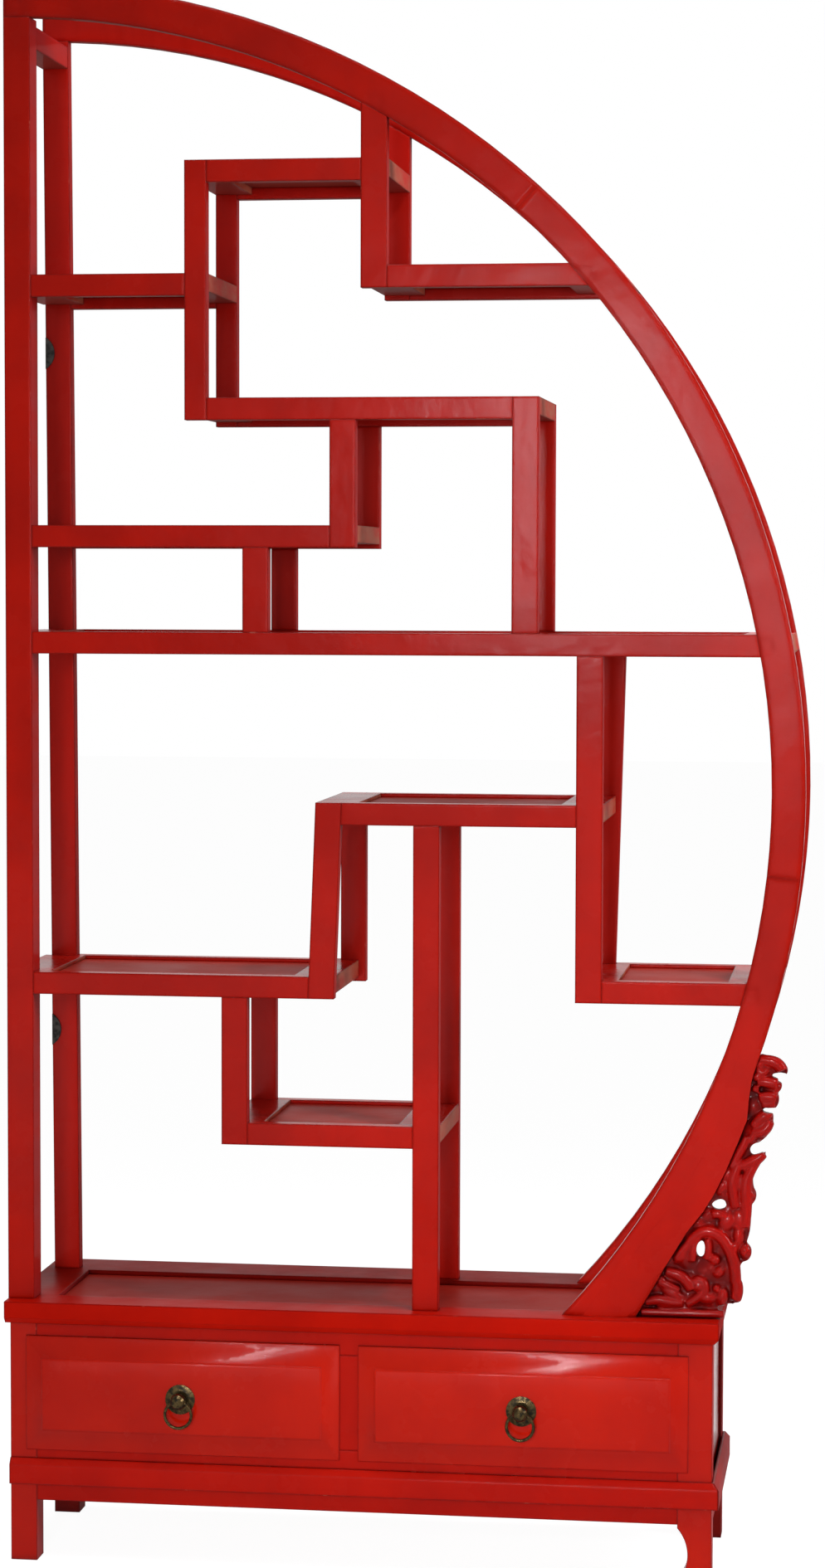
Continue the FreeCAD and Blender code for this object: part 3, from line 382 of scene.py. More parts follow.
@dataclass(frozen=True)
class Lacquer:
    """Brushed gloss lacquer over wood with wear at its edges, a rear tone painted in for light and shade,
    painted shade in crevices and on downward faces, and painted light on right-facing faces.
    """

    name: str
    bright: Colour
    deep: Colour
    # painted light and shade: the colour that the lacquer turns to towards the rear
    rear: Colour
    roughness: float = 0.20
    gloss: float = 0.035
    coat: float = 0.055
    coat_roughness: float = 0.14
    # where the painted rear tone begins and where it is full, along Y in metres
    front_y: float = -0.085
    rear_y: float = 0.05
    rounding: float = 0.0045
    cloud: Pattern = Pattern(5.0, 5.0, 0.36, 0.66)
    streak: Pattern = Pattern(60.0, 3.0, 0.35, 0.75, (1.0, 1.0, 0.15))
    streak_share: float = 0.22
    edge_width: float = 0.003
    edge_share: float = 1.0
    line_colour: Colour = linear(70, 10, 10)
    line_share: float = 0.5
    chips: Pattern = Pattern(45.0, 6.0, 0.62, 0.72)
    # edge chips: worn lacquer, and partly a painted highlight on the edges
    chip_colour: Colour = linear(196, 116, 96)
    chip_share: float = 0.5
    # painted shade in crevices and corners, found by ambient occlusion
    crevice_colour: Colour = linear(40, 4, 6)
    crevice_depth: float = 0.05
    crevice_from: float = 0.75
    crevice_full: float = 0.2
    crevice_share: float = 0.40
    # painted light: a colour for right-facing faces that stands in for how light falls on them
    side_colour: Colour = (0.300, 0.024, 0.026)
    side_from: float = 0.55
    side_full: float = 0.95
    side_share: float = 0.55
    side_roughness: float = 0.85
    rubbing: Pattern = Pattern(30.0, 5.0, 0.25, 0.70, (0.3, 0.3, 1.0))
    # painted shade on faces that look down
    under_colour: Colour = (0.162, 0.023, 0.014)
    under_from: float = 0.6
    under_full: float = 0.95
    under_share: float = 0.8
    haze: Pattern = Pattern(9.0, 6.0, 0.3, 0.7)
    haze_share: float = 0.12
    peel: Pattern = Pattern(120.0, 3.0)
    peel_depth: float = 0.00012
    wave: Pattern = Pattern(24.0, 2.0)
    wave_share: float = 5.0

    def brushed(self, sheet: NodeSheet) -> Socket:
        """The colour with its cloud and streaks, and a painted tone towards the rear that stands in for the
        light and shade there.

        Args:
            sheet: the material's nodes.

        Returns:
            The colour's socket.
        """
        colour = sheet.mix(sheet.patches(self.cloud), self.bright, self.deep)
        split = sheet.add("SeparateXYZ")
        sheet.feed(split.inputs[0], sheet.place())
        # painted shade: the colour turns to the rear tone with depth, standing in for the light at the rear
        behind = sheet.ramp(split.outputs["Y"], self.front_y, self.rear_y)
        colour = sheet.mix(behind, colour, self.rear)
        streak = sheet.times(sheet.patches(self.streak), self.streak_share)
        return sheet.mix(streak, colour, self.deep)

    def worn(self, sheet: NodeSheet, colour: Socket) -> Socket:
        """The colour with dark lines and chips on the edges, the chips partly a painted highlight, and
        painted shade in the crevices.

        Args:
            sheet: the material's nodes.
            colour: the lacquer's colour, with its painted rear tone.

        Returns:
            The colour's socket, with its wear and painted shade.
        """
        edge = sheet.times(sheet.worn_edge(self.edge_width), self.edge_share)
        colour = sheet.mix(sheet.times(edge, self.line_share), colour, self.line_colour)
        # light chips on the edges, partly wear and partly painted highlight
        chips = sheet.times(sheet.patches(self.chips), self.chip_share)
        colour = sheet.mix(sheet.times(edge, chips), colour, self.chip_colour)
        # painted shade: darker where ambient occlusion finds a crevice or corner
        shade = sheet.add("AmbientOcclusion", samples=SHADER_SAMPLES)
        sheet.feed(shade.inputs["Distance"], self.crevice_depth)
        crevice = sheet.ramp(shade.outputs["AO"], self.crevice_from, self.crevice_full)
        return sheet.mix(sheet.times(crevice, self.crevice_share), colour, self.crevice_colour)

    def material(self) -> bpy.types.Material:
        """Build the finish.

        Returns:
            The lacquer's material.
        """
        sheet = NodeSheet(self.name)
        colour = self.worn(sheet, self.brushed(sheet))
        # painted light on the faces that look right, in patches
        side = sheet.facing(RIGHT, self.side_from, self.side_full)
        rubbed = sheet.times(sheet.times(side, sheet.patches(self.rubbing)), self.side_share)
        colour = sheet.mix(rubbed, colour, self.side_colour)
        # painted shade on the faces that look down; the same mask also roughens them
        under = sheet.times(sheet.facing(DOWN, self.under_from, self.under_full), self.under_share)
        colour = sheet.mix(under, colour, self.under_colour)
        haze = sheet.times(sheet.patches(self.haze), self.haze_share)
        rough = sheet.reckon("ADD", self.roughness, haze)
        rough = sheet.reckon("MAXIMUM", rough, sheet.times(side, self.side_roughness))
        rough = sheet.reckon("MAXIMUM", rough, under)
        wave = sheet.times(sheet.noise(self.wave), self.wave_share)
        height = sheet.reckon("ADD", sheet.noise(self.peel), wave)
        normal = sheet.soft_normal(height, self.peel_depth, self.rounding)
        return sheet.surface(
            Base_Color=colour,
            Roughness=rough,
            Specular_IOR_Level=self.gloss,
            Coat_Weight=self.coat,
            Coat_Roughness=self.coat_roughness,
            Normal=normal,
            Coat_Normal=normal,
        )


@dataclass(frozen=True)
class BareWood:
    """Planed unpainted wood with its grain from front to rear."""

    name: str
    light: Colour
    dark: Colour
    roughness: float = 0.62
    rounding: float = 0.001
    rings: Pattern = Pattern(40.0, 5.0, 0.3, 0.7, (1.0, 0.12, 1.0))
    fibre: Pattern = Pattern(300.0, 3.0, stretch=(1.0, 0.12, 1.0))
    fibre_share: float = 0.3
    fibre_depth: float = 0.0002

    def material(self) -> bpy.types.Material:
        """Build the finish.

        Returns:
            The wood's material.
        """
        sheet = NodeSheet(self.name)
        fibre = sheet.noise(self.fibre)
        colour = sheet.mix(sheet.patches(self.rings), self.light, self.dark)
        colour = sheet.mix(sheet.times(fibre, self.fibre_share), colour, self.dark)
        normal = sheet.soft_normal(fibre, self.fibre_depth, self.rounding)
        return sheet.surface(Base_Color=colour, Roughness=self.roughness, Normal=normal)


@dataclass(frozen=True)
class AgedMetal:
    """Metal under a patina that wears through on its high places."""

    name: str
    bare: Colour
    patina: Colour
    metallic: float
    roughness: float
    rounding: float = 0.0005
    cloud: Pattern = Pattern(160.0, 5.0, 0.38, 0.66)
    cloud_roughness: float = 0.2
    edge_width: float = 0.0012
    edge_share: float = 0.7
    pits: Pattern = Pattern(700.0, 4.0)
    pit_depth: float = 0.00012

    def material(self) -> bpy.types.Material:
        """Build the finish.

        Returns:
            The metal's material.
        """
        sheet = NodeSheet(self.name)
        cloud = sheet.patches(self.cloud)
        colour = sheet.mix(cloud, self.bare, self.patina)
        edge = sheet.times(sheet.worn_edge(self.edge_width), self.edge_share)
        colour = sheet.mix(edge, colour, self.bare)
        rough = sheet.reckon("ADD", self.roughness, sheet.times(cloud, self.cloud_roughness))
        normal = sheet.soft_normal(sheet.noise(self.pits), self.pit_depth, self.rounding)
        return sheet.surface(Base_Color=colour, Metallic=self.metallic, Roughness=rough, Normal=normal)


class Slot(Enum):
    """The finishes that the pieces take."""

    RED_LACQUER = "red_lacquer"
    PANEL_LACQUER = "panel_lacquer"
    DRAWER_WOOD = "drawer_wood"
    BRONZE = "bronze"
    IRON = "iron"
    CARVED_LACQUER = "carved_lacquer"
    RIM_LACQUER = "rim_lacquer"
    FLARE_LACQUER = "flare_lacquer"
    SHELF_LACQUER = "shelf_lacquer"
    CHEST_LACQUER = "chest_lacquer"
    DRAWER_LACQUER = "drawer_lacquer"
    SIDE_LACQUER = "side_lacquer"
    DECK_LACQUER = "deck_lacquer"
    DECK_RAIL_LACQUER = "deck_rail_lacquer"


# Each set of reds: bright, deep, and a rear tone painted in for the light and shade at the rear, darker than
# bright except in the unit's reds.
Reds = Tuple[Colour, Colour, Colour]
UNIT_REDS: Reds = (linear(172, 17, 2), linear(150, 13, 2), linear(184, 26, 16))
CHEST_REDS: Reds = (linear(172, 17, 3), linear(156, 13, 3), linear(124, 12, 4))
DRAWER_REDS: Reds = (linear(177, 22, 2), linear(162, 16, 2), linear(140, 12, 4))
PANEL_REDS: Reds = (linear(200, 58, 44), linear(176, 48, 36), linear(174, 46, 34))
DECK_REDS: Reds = (linear(176, 46, 34), linear(150, 36, 26), linear(154, 36, 26))
CARVED_REDS: Reds = (linear(158, 10, 4), linear(130, 7, 4), linear(92, 5, 4))


@dataclass
class Finishes:
    """One material for each finish."""

    made: Dict[Slot, bpy.types.Material] = field(default_factory=dict)

    def lacquer(self, slot: Slot, reds: Reds, **changes: object) -> None:
        """Mix one lacquer.

        Args:
            slot: the finish that it is for.
            reds: its colours.
            changes: where it differs from the common lacquer.
        """
        self.made[slot] = Lacquer(slot.value, *reds, **changes).material()

    def build(self) -> None:
        """Make every finish once."""
        plain_sides = {"side_share": 0.0, "side_roughness": 0.0}
        # deeper painted shade in the crevices
        dirty = {"crevice_depth": 0.03, "crevice_share": 0.9}
        self.lacquer(Slot.RED_LACQUER, UNIT_REDS)
        self.lacquer(Slot.RIM_LACQUER, UNIT_REDS, **plain_sides, edge_share=0.6, rounding=0.010)
        self.lacquer(Slot.FLARE_LACQUER, UNIT_REDS, edge_share=0.0, crevice_share=0.0, rounding=0.0005)
        # shelf frames: a tan on right-facing faces, partly painted reflection and partly bare worn wood
        self.lacquer(Slot.SHELF_LACQUER, UNIT_REDS, side_colour=linear(160, 96, 72), side_share=0.85)
        self.lacquer(Slot.CHEST_LACQUER, CHEST_REDS, **dirty)
        self.lacquer(
            Slot.DRAWER_LACQUER, DRAWER_REDS, gloss=0.06, coat=0.08, coat_roughness=0.07,
            crevice_depth=0.02, crevice_share=0.9, edge_share=1.5, rounding=0.0022,
            # drawer fronts: painted shade on the downward slopes of the border
            under_share=0.25, under_colour=linear(104, 4, 2), under_from=0.1, under_full=0.3,
        )
        self.lacquer(Slot.PANEL_LACQUER, PANEL_REDS, roughness=0.42, gloss=0.025, coat=0.01)
        self.lacquer(Slot.DECK_LACQUER, DECK_REDS, roughness=0.45, gloss=0.025, coat=0.01)
        self.lacquer(Slot.DECK_RAIL_LACQUER, CHEST_REDS, **dirty, roughness=0.35, gloss=0.015, coat=0.01)
        self.lacquer(
            Slot.SIDE_LACQUER, CHEST_REDS, **plain_sides, roughness=0.12, gloss=0.12, coat=0.10,
            coat_roughness=0.05,
        )
        self.lacquer(
            Slot.CARVED_LACQUER, CARVED_REDS, **plain_sides, gloss=0.04, coat=0.12, coat_roughness=0.10,
            # carving: painted shade on the ground behind the relief, and deep painted shade in its crevices
            front_y=-0.1085, rear_y=-0.0990, crevice_depth=0.014, crevice_share=0.85, edge_share=0.0,
            rounding=0.001, under_share=0.0,
        )
        wood = BareWood(Slot.DRAWER_WOOD.value, linear(196, 160, 116), linear(150, 112, 74))
        bronze = AgedMetal(Slot.BRONZE.value, linear(72, 58, 32), linear(22, 20, 13), 0.9, 0.22)
        iron = AgedMetal(Slot.IRON.value, linear(60, 56, 52), linear(26, 24, 24), 0.6, 0.55)
        for finish in (wood, bronze, iron):
            self.made[Slot(finish.name)] = finish.material()

    def dress(self, piece: bpy.types.Object, slot: Slot) -> None:
        """Give a piece its finish."""
        piece.data.materials.clear()
        piece.data.materials.append(self.made[slot])


@dataclass(frozen=True)
class Lamp:
    """One soft lamp: its place, what it points at, its face in metres, its watts and its spread."""

    name: str
    place: Place
    target: Place
    size: Tuple[float, float]
    power: float
    spread_degrees: float = 180.0
    colour: Colour = (0.96, 0.94, 1.0)

    def hang(self) -> None:
        """Hang the lamp and point it."""
        data = bpy.data.lights.new(self.name, "AREA")
        data.shape = "RECTANGLE"
        data.size, data.size_y = self.size
        data.energy = self.power
        data.color = self.colour
        data.spread = math.radians(self.spread_degrees)
        item = enter(self.name, data)
        way = Vector(self.target) - Vector(self.place)
        item.rotation_euler = way.to_track_quat("-Z", "Y").to_euler()
        item.location = self.place


@dataclass
class Studio:
    """Pale floor, soft light and the camera."""

    camera_place: Place = (0.6277, -4.5047, 1.2642)
    forward: Place = (-0.13766, 0.98877, -0.05812)
    roll_degrees: float = 0.14
    lens: float = 81.24
    sensor: float = 36.0
    floor_reach: float = 40.0
    floor_colour: Colour = (0.92, 0.92, 0.92)
    floor_glow: float = 1.18
    floor_glow_share: float = 0.80
    sky_light: float = 0.20
    lamps: Tuple[Lamp, ...] = (
        Lamp("front_softbox", (-0.22, -4.6, 1.55), (0.1, 0.0, 0.6), (0.40, 0.80), 6.5, 60.0),
        Lamp("front_window", (0.27, -4.6, 1.45), (0.3, 0.0, 0.9), (0.30, 1.30), 2.8, 60.0),
        Lamp("low_fill", (-0.3, -2.8, 0.30), (0.0, 0.0, 0.3), (2.4, 0.8), 10.0),
        Lamp("overhead", (0.0, 0.0, 4.2), (0.0, 0.0, 0.0), (1.5, 1.5), 18.0, 70.0),
        Lamp("high_right", (1.2, -1.2, 3.4), (0.2, 0.0, 0.4), (0.14, 0.14), 3.0, 70.0),
        Lamp("high_window", (0.155, -4.6, 1.74), (0.40, -0.13, 0.30), (0.12, 0.16), 0.30, 16.0),
        Lamp("right_strip", (2.7, -0.7, 1.7), (0.0, 0.0, 1.5), (0.5, 1.2), 19.0, 110.0),
    )

    def build(self) -> None:
        """Make the stage, the lights and the camera."""
        self.floor()
        self.world()
        for lamp in self.lamps:
            lamp.hang()
        self.camera()

    def floor(self) -> None:
        """Lay the floor."""
        bpy.ops.object.select_all(action="DESELECT")
        bpy.ops.mesh.primitive_plane_add(size=self.floor_reach, location=(0.0, 0.0, 0.0))
        plane = bpy.context.object
        plane.name = "studio_floor"
        sheet = NodeSheet("studio_floor")
        matt = sheet.add("BsdfDiffuse")
        sheet.feed(matt.inputs["Color"], self.floor_colour)
        glow = sheet.add("Emission")
        sheet.feed(glow.inputs["Color"], EVEN)
        sheet.feed(glow.inputs["Strength"], self.floor_glow)
        mixed = sheet.add("MixShader")
        sheet.feed(mixed.inputs["Fac"], sheet.times(seen_directly(sheet.tree), self.floor_glow_share))
        sheet.feed(mixed.inputs[1], matt.outputs[0])
        sheet.feed(mixed.inputs[2], glow.outputs[0])
        sheet.feed(sheet.output.inputs["Surface"], mixed.outputs[0])
        plane.data.materials.append(sheet.material)

    def world(self) -> None:
        """White surroundings that light the object softly."""
        world = bpy.data.worlds.new("studio")
        bpy.context.scene.world = world
        world.use_nodes = True
        tree = world.node_tree
        background = tree.nodes["Background"]
        strength = tree.nodes.new("ShaderNodeMapRange")
        tree.links.new(seen_directly(tree), strength.inputs["Value"])
        strength.inputs["To Min"].default_value = self.sky_light
        strength.inputs["To Max"].default_value = 1.0
        tree.links.new(strength.outputs["Result"], background.inputs["Strength"])
        background.inputs["Color"].default_value = (*EVEN, 1.0)

    def camera(self) -> None:
        """Stand the camera where the photograph was taken from."""
        data = bpy.data.cameras.new("camera")
        data.sensor_fit = "AUTO"
        data.sensor_width = self.sensor
        data.lens = self.lens
        item = enter("camera", data)
        ahead = Vector(self.forward).normalized()
        level = ahead.cross(Vector(UP)).normalized()
        upright = level.cross(ahead)
        turn = math.radians(self.roll_degrees)
        right = level * math.cos(turn) + upright * math.sin(turn)
        up = upright * math.cos(turn) - level * math.sin(turn)
        item.matrix_world = Matrix((
            (right.x, up.x, -ahead.x, self.camera_place[0]),
            (right.y, up.y, -ahead.y, self.camera_place[1]),
            (right.z, up.z, -ahead.z, self.camera_place[2]),
            (0.0, 0.0, 0.0, 1.0),
        ))
        bpy.context.scene.camera = item


@dataclass(frozen=True)
class Ridge:
    """One raised scroll or vein: points across and up as shares of the carving, and its radius in metres."""

    points: Pairs
    radius: float
    start_share: float = 0.6
    end_share: float = 0.6


@dataclass(frozen=True)
class Lobe:
    """One leaf, bud or opening: its place in shares of the carving, half-sizes in metres and its tilt."""

    across: float
    up: float
    long_half: float
    short_half: float
    tilt_degrees: float = 0.0
    proud: float = 0.007


@dataclass
class CarvedSpandrel:
    """Openwork scroll and leaf carving in the corner between the rim's foot and the deck."""

    name: str = "carved_scrollwork"
    node: str = "carved_spandrel"
    body: str = "carcass"
    left: float = 0.2999
    foot: float = 0.338
    reach: float = 0.184
    height: float = 0.3346
    ground_y: float = -0.1068
    ridge_y: float = -0.1035
    lobe_sink: float = 0.002
    leaf_size: float = 0.019
    hollow: float = 0.009
    front_cosine: float = 0.6
    voxel: float = 0.0012
    ridge_sides: int = 4
    ridge_steps: int = 10
    ridge_order: int = 3
    lobe_segments: int = 24
    lobe_rings: int = 12
    bit_sides: int = 28
    sanding: float = 0.5
    sanding_rounds: int = 2
    kept_share: float = 0.45
    ridges: Tuple[Ridge, ...] = (
        Ridge(((0.828, 0.979), (0.898, 0.979), (0.968, 0.963), (0.985, 0.942)), 0.0078, 0.8, 0.9),
        Ridge(((0.815, 0.951), (0.829, 0.930), (0.868, 0.931), (0.892, 0.950)), 0.0052, 0.7, 0.7),
        Ridge(((0.816, 0.899), (0.886, 0.898), (0.949, 0.890)), 0.0078, 0.7, 0.9),
        Ridge(((0.785, 0.875), (0.805, 0.870), (0.827, 0.868)), 0.0052, 0.8, 0.8),
        Ridge(((0.830, 0.837), (0.893, 0.846), (0.942, 0.837)), 0.0078, 0.8, 0.9),
        Ridge(((0.848, 0.813), (0.901, 0.818), (0.936, 0.815)), 0.0059, 0.8, 0.9),
        Ridge(((0.787, 0.729), (0.832, 0.759), (0.885, 0.773), (0.910, 0.766)), 0.0078, 0.7, 0.7),
        Ridge(((0.779, 0.706), (0.832, 0.705), (0.885, 0.723), (0.907, 0.750)), 0.0078, 0.7, 0.7),
        Ridge(((0.760, 0.670), (0.782, 0.686), (0.804, 0.706)), 0.0059, 0.7, 0.9),
        Ridge(((0.711, 0.579), (0.778, 0.595), (0.831, 0.611), (0.862, 0.629)), 0.0078, 0.8, 0.8),
        Ridge(((0.646, 0.573), (0.691, 0.625), (0.724, 0.657), (0.749, 0.690)), 0.0065, 0.8, 0.8),
        Ridge(((0.679, 0.422), (0.650, 0.486), (0.658, 0.548), (0.697, 0.589)), 0.0078, 0.8, 0.8),
        Ridge(((0.742, 0.350), (0.752, 0.425), (0.740, 0.487), (0.753, 0.549),
               (0.812, 0.596)), 0.0078, 0.8, 0.8),
        Ridge(((0.752, 0.467), (0.796, 0.477)), 0.0059, 0.9, 0.8),
        Ridge(((0.601, 0.387), (0.563, 0.403), (0.517, 0.394)), 0.0065, 0.8, 0.8),
        Ridge(((0.360, 0.286), (0.402, 0.316), (0.487, 0.335), (0.583, 0.313), (0.645, 0.259),
               (0.677, 0.197), (0.681, 0.138)), 0.0078, 0.8, 0.9),
        Ridge(((0.687, 0.286), (0.662, 0.273), (0.665, 0.251)), 0.0059, 0.8, 0.8),
        Ridge(((0.689, 0.138), (0.701, 0.103), (0.679, 0.074)), 0.0078, 0.9, 0.9),
        Ridge(((0.384, 0.215), (0.386, 0.270), (0.428, 0.307)), 0.0059, 0.8, 0.8),
        Ridge(((0.490, 0.303), (0.504, 0.264), (0.482, 0.223)), 0.0059, 0.8, 0.8),
        Ridge(((0.204, 0.175), (0.277, 0.167), (0.341, 0.146), (0.379, 0.107)), 0.0072, 0.7, 0.8),
        Ridge(((0.153, 0.133), (0.218, 0.125), (0.295, 0.102)), 0.0065, 0.7, 0.8),
        Ridge(((0.066, 0.055), (0.137, 0.070), (0.225, 0.057), (0.321, 0.056)), 0.0072, 0.7, 0.8),
        Ridge(((0.276, 0.221), (0.318, 0.258), (0.363, 0.286)), 0.0065, 0.8, 0.8),
        Ridge(((0.038, 0.017), (0.208, 0.017), (0.420, 0.017), (0.603, 0.017)), 0.0059, 0.9, 0.9),
        Ridge(((0.349, 0.050), (0.419, 0.075), (0.475, 0.105), (0.461, 0.137), (0.413, 0.147),
               (0.379, 0.129)), 0.0065, 0.8, 0.7),
    )
    lobes: Tuple[Lobe, ...] = (
        Lobe(0.839, 0.731, 0.0150, 0.0090, 40.0, 0.0070),
        Lobe(0.620, 0.368, 0.0140, 0.0100, 60.0, 0.0070),
        Lobe(0.700, 0.373, 0.0170, 0.0090, 95.0, 0.0070),
        Lobe(0.743, 0.260, 0.0080, 0.0090, 0.0, 0.0080),
        Lobe(0.536, 0.224, 0.0075, 0.0075, 0.0, 0.0100),
        Lobe(0.566, 0.178, 0.0085, 0.0070, 40.0, 0.0080),
        Lobe(0.426, 0.122, 0.0090, 0.0080, 0.0, 0.0090),
        Lobe(0.493, 0.078, 0.0120, 0.0080, 10.0, 0.0080),
        Lobe(0.591, 0.084, 0.0120, 0.0080, 80.0, 0.0080),
        Lobe(0.549, 0.115, 0.0055, 0.0055, 0.0, 0.0080),
        Lobe(0.253, 0.091, 0.0160, 0.0080, -30.0, 0.0080),
        Lobe(0.171, 0.140, 0.0065, 0.0065, 0.0, 0.0080),
        Lobe(0.307, 0.236, 0.0130, 0.0070, 50.0, 0.0070),
        Lobe(0.583, 0.499, 0.0120, 0.0075, 62.0, 0.0070),
        Lobe(0.617, 0.546, 0.0120, 0.0070, 62.0, 0.0070),
        Lobe(0.698, 0.516, 0.0130, 0.0070, 85.0, 0.0070),
        Lobe(0.829, 0.963, 0.0080, 0.0070, 0.0, 0.0080),
        Lobe(0.698, 0.314, 0.0120, 0.0070, 95.0, 0.0070),
        Lobe(0.208, 0.048, 0.0130, 0.0060, 0.0, 0.0070),
        Lobe(0.815, 0.916, 0.0080, 0.0060, 0.0, 0.0070),
        Lobe(0.887, 0.832, 0.0100, 0.0070, 0.0, 0.0070),
    )
    piercings: Tuple[Lobe, ...] = (
        Lobe(0.966, 0.921, 0.0100, 0.0032, 0.0, 0.0400),
        Lobe(0.907, 0.790, 0.0100, 0.0032, 0.0, 0.0400),
        Lobe(0.839, 0.641, 0.0130, 0.0036, 22.0, 0.0400),
        Lobe(0.565, 0.433, 0.0080, 0.0055, 20.0, 0.0400),
        Lobe(0.440, 0.263, 0.0100, 0.0052, 84.0, 0.0400),
    )

    def spot(self, across: float, up: float, y: float) -> Place:
        """Turn shares of the carving into a place in metres."""
        return self.left + across * self.reach, y, self.foot + up * self.height

    def one_wood(self, board: bpy.types.Object) -> None:
        """Make one closed even mesh of the active carving.

        Args:
            board: the carving, which is the active piece.
        """
        solid = board.modifiers.new("one_wood", "REMESH")
        solid.mode = "VOXEL"
        solid.voxel_size = self.voxel
        bpy.ops.object.modifier_apply(modifier=solid.name)

    def hew(self, board: bpy.types.Object) -> None:
        """Work the ground into small leaves with hollows between them.

        Args:
            board: the board cut back to its ground.
        """
        self.one_wood(board)
        front = board.vertex_groups.new(name="front")
        faced = [vertex.index for vertex in board.data.vertices if vertex.normal.y < -self.front_cosine]
        front.add(faced, 1.0, "REPLACE")
        cells = bpy.data.textures.new("leaf_cells", "VORONOI")
        cells.noise_scale = self.leaf_size
        hollows = board.modifiers.new("hollows", "DISPLACE")
        hollows.texture = cells
        hollows.texture_coords = "GLOBAL"
        hollows.direction = "Y"
        hollows.strength = self.hollow
        hollows.mid_level = 0.0
        hollows.vertex_group = front.name
        bpy.ops.object.modifier_apply(modifier=hollows.name)

    def pierce(self, board: bpy.types.Object) -> None:
        """Cut the openings and the notches of the edge through the carving.

        Args:
            board: the carved board.
        """
        bits = []
        for hole in self.piercings:
            bpy.ops.object.select_all(action="DESELECT")
            bpy.ops.mesh.primitive_cylinder_add(
                vertices=self.bit_sides, radius=1.0, depth=1.0, rotation=(QUARTER_TURN, 0.0, 0.0)
            )
            bit = bpy.context.object
            bpy.ops.object.transform_apply(location=True, rotation=True, scale=True)
            bit.scale = (hole.long_half, hole.proud * 2.0, hole.short_half)
            bit.rotation_euler = (0.0, -math.radians(hole.tilt_degrees), 0.0)
            bit.location = self.spot(hole.across, hole.up, self.ground_y)
            bpy.ops.object.transform_apply(location=True, rotation=True, scale=True)
            bits.append(bit)
        for bit in bits:
            bit.select_set(True)
        bpy.ops.object.join()
        tool = bpy.context.object
        only(board)
        cut = board.modifiers.new("pierced", "BOOLEAN")
        cut.object = tool
        cut.operation = "DIFFERENCE"
        bpy.ops.object.modifier_apply(modifier=cut.name)
        bpy.data.objects.remove(tool)

    def carve_ridge(self, ridge: Ridge) -> bpy.types.Object:
        """Raise one scroll or vein.

        Args:
            ridge: its line and thickness.

        Returns:
            The ridge as a mesh.
        """
        line = bpy.data.curves.new("scroll", "CURVE")
        line.dimensions = "3D"
        line.bevel_depth = ridge.radius
        line.bevel_resolution = self.ridge_sides
        line.resolution_u = self.ridge_steps
        line.use_fill_caps = True
        spline = line.splines.new("NURBS")
        last = len(ridge.points) - 1
        spline.points.add(last)
        for index, (point, (across, up)) in enumerate(zip(spline.points, ridge.points)):
            along = index / last
            ends = ridge.start_share if along < 0.5 else ridge.end_share
            point.co = (*self.spot(across, up, self.ridge_y), 1.0)
            point.radius = ends + (1.0 - ends) * math.sin(math.pi * along)
        spline.order_u = self.ridge_order
        spline.use_endpoint_u = True
        only(enter("scroll", line))
        bpy.ops.object.convert(target="MESH")
        return bpy.context.object

    def carve_lobe(self, lobe: Lobe) -> bpy.types.Object:
        """Raise one leaf or bud.

        Args:
            lobe: its place and sizes.

        Returns:
            The lobe as a mesh.
        """
        bpy.ops.object.select_all(action="DESELECT")
        place = self.spot(lobe.across, lobe.up, self.ridge_y + self.lobe_sink)
        bpy.ops.mesh.primitive_uv_sphere_add(
            segments=self.lobe_segments, ring_count=self.lobe_rings, radius=1.0, location=place
        )
        item = bpy.context.object
        item.scale = (lobe.long_half, lobe.proud, lobe.short_half)
        item.rotation_euler = (0.0, -math.radians(lobe.tilt_degrees), 0.0)
        bpy.ops.object.transform_apply(location=True, rotation=True, scale=True)
        return item

    def sand(self, board: bpy.types.Object) -> None:
        """Soften the tool marks and thin out the mesh.

        Args:
            board: the carving, which is the active piece.
        """
        sanded = board.modifiers.new("sanded", "SMOOTH")
        sanded.factor = self.sanding
        sanded.iterations = self.sanding_rounds
        bpy.ops.object.modifier_apply(modifier=sanded.name)
        lighter = board.modifiers.new("lighter", "DECIMATE")
        lighter.ratio = self.kept_share
        bpy.ops.object.modifier_apply(modifier=lighter.name)
        bpy.ops.object.shade_smooth()

    def build(self, finishes: Finishes) -> bpy.types.Object:
        """Carve the whole spandrel and put it in the node's place.

        Args:
            finishes: the finishes to use.

        Returns:
            The carving.
        """
        board = rear_of(frame["nodes"][self.node], self.name, self.ground_y)
        self.hew(board)
        relief = [self.carve_ridge(ridge) for ridge in self.ridges]
        relief += [self.carve_lobe(lobe) for lobe in self.lobes]
        only(board)
        for item in relief:
            item.select_set(True)
        bpy.ops.object.join()
        self.one_wood(board)
        self.pierce(board)
        self.one_wood(board)
        self.sand(board)
        finishes.dress(board, Slot.CARVED_LACQUER)
        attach(board, self.body)
        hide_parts(self.node)
        LOG.info("carved %s with %d faces", board.name, len(board.data.polygons))
        return board


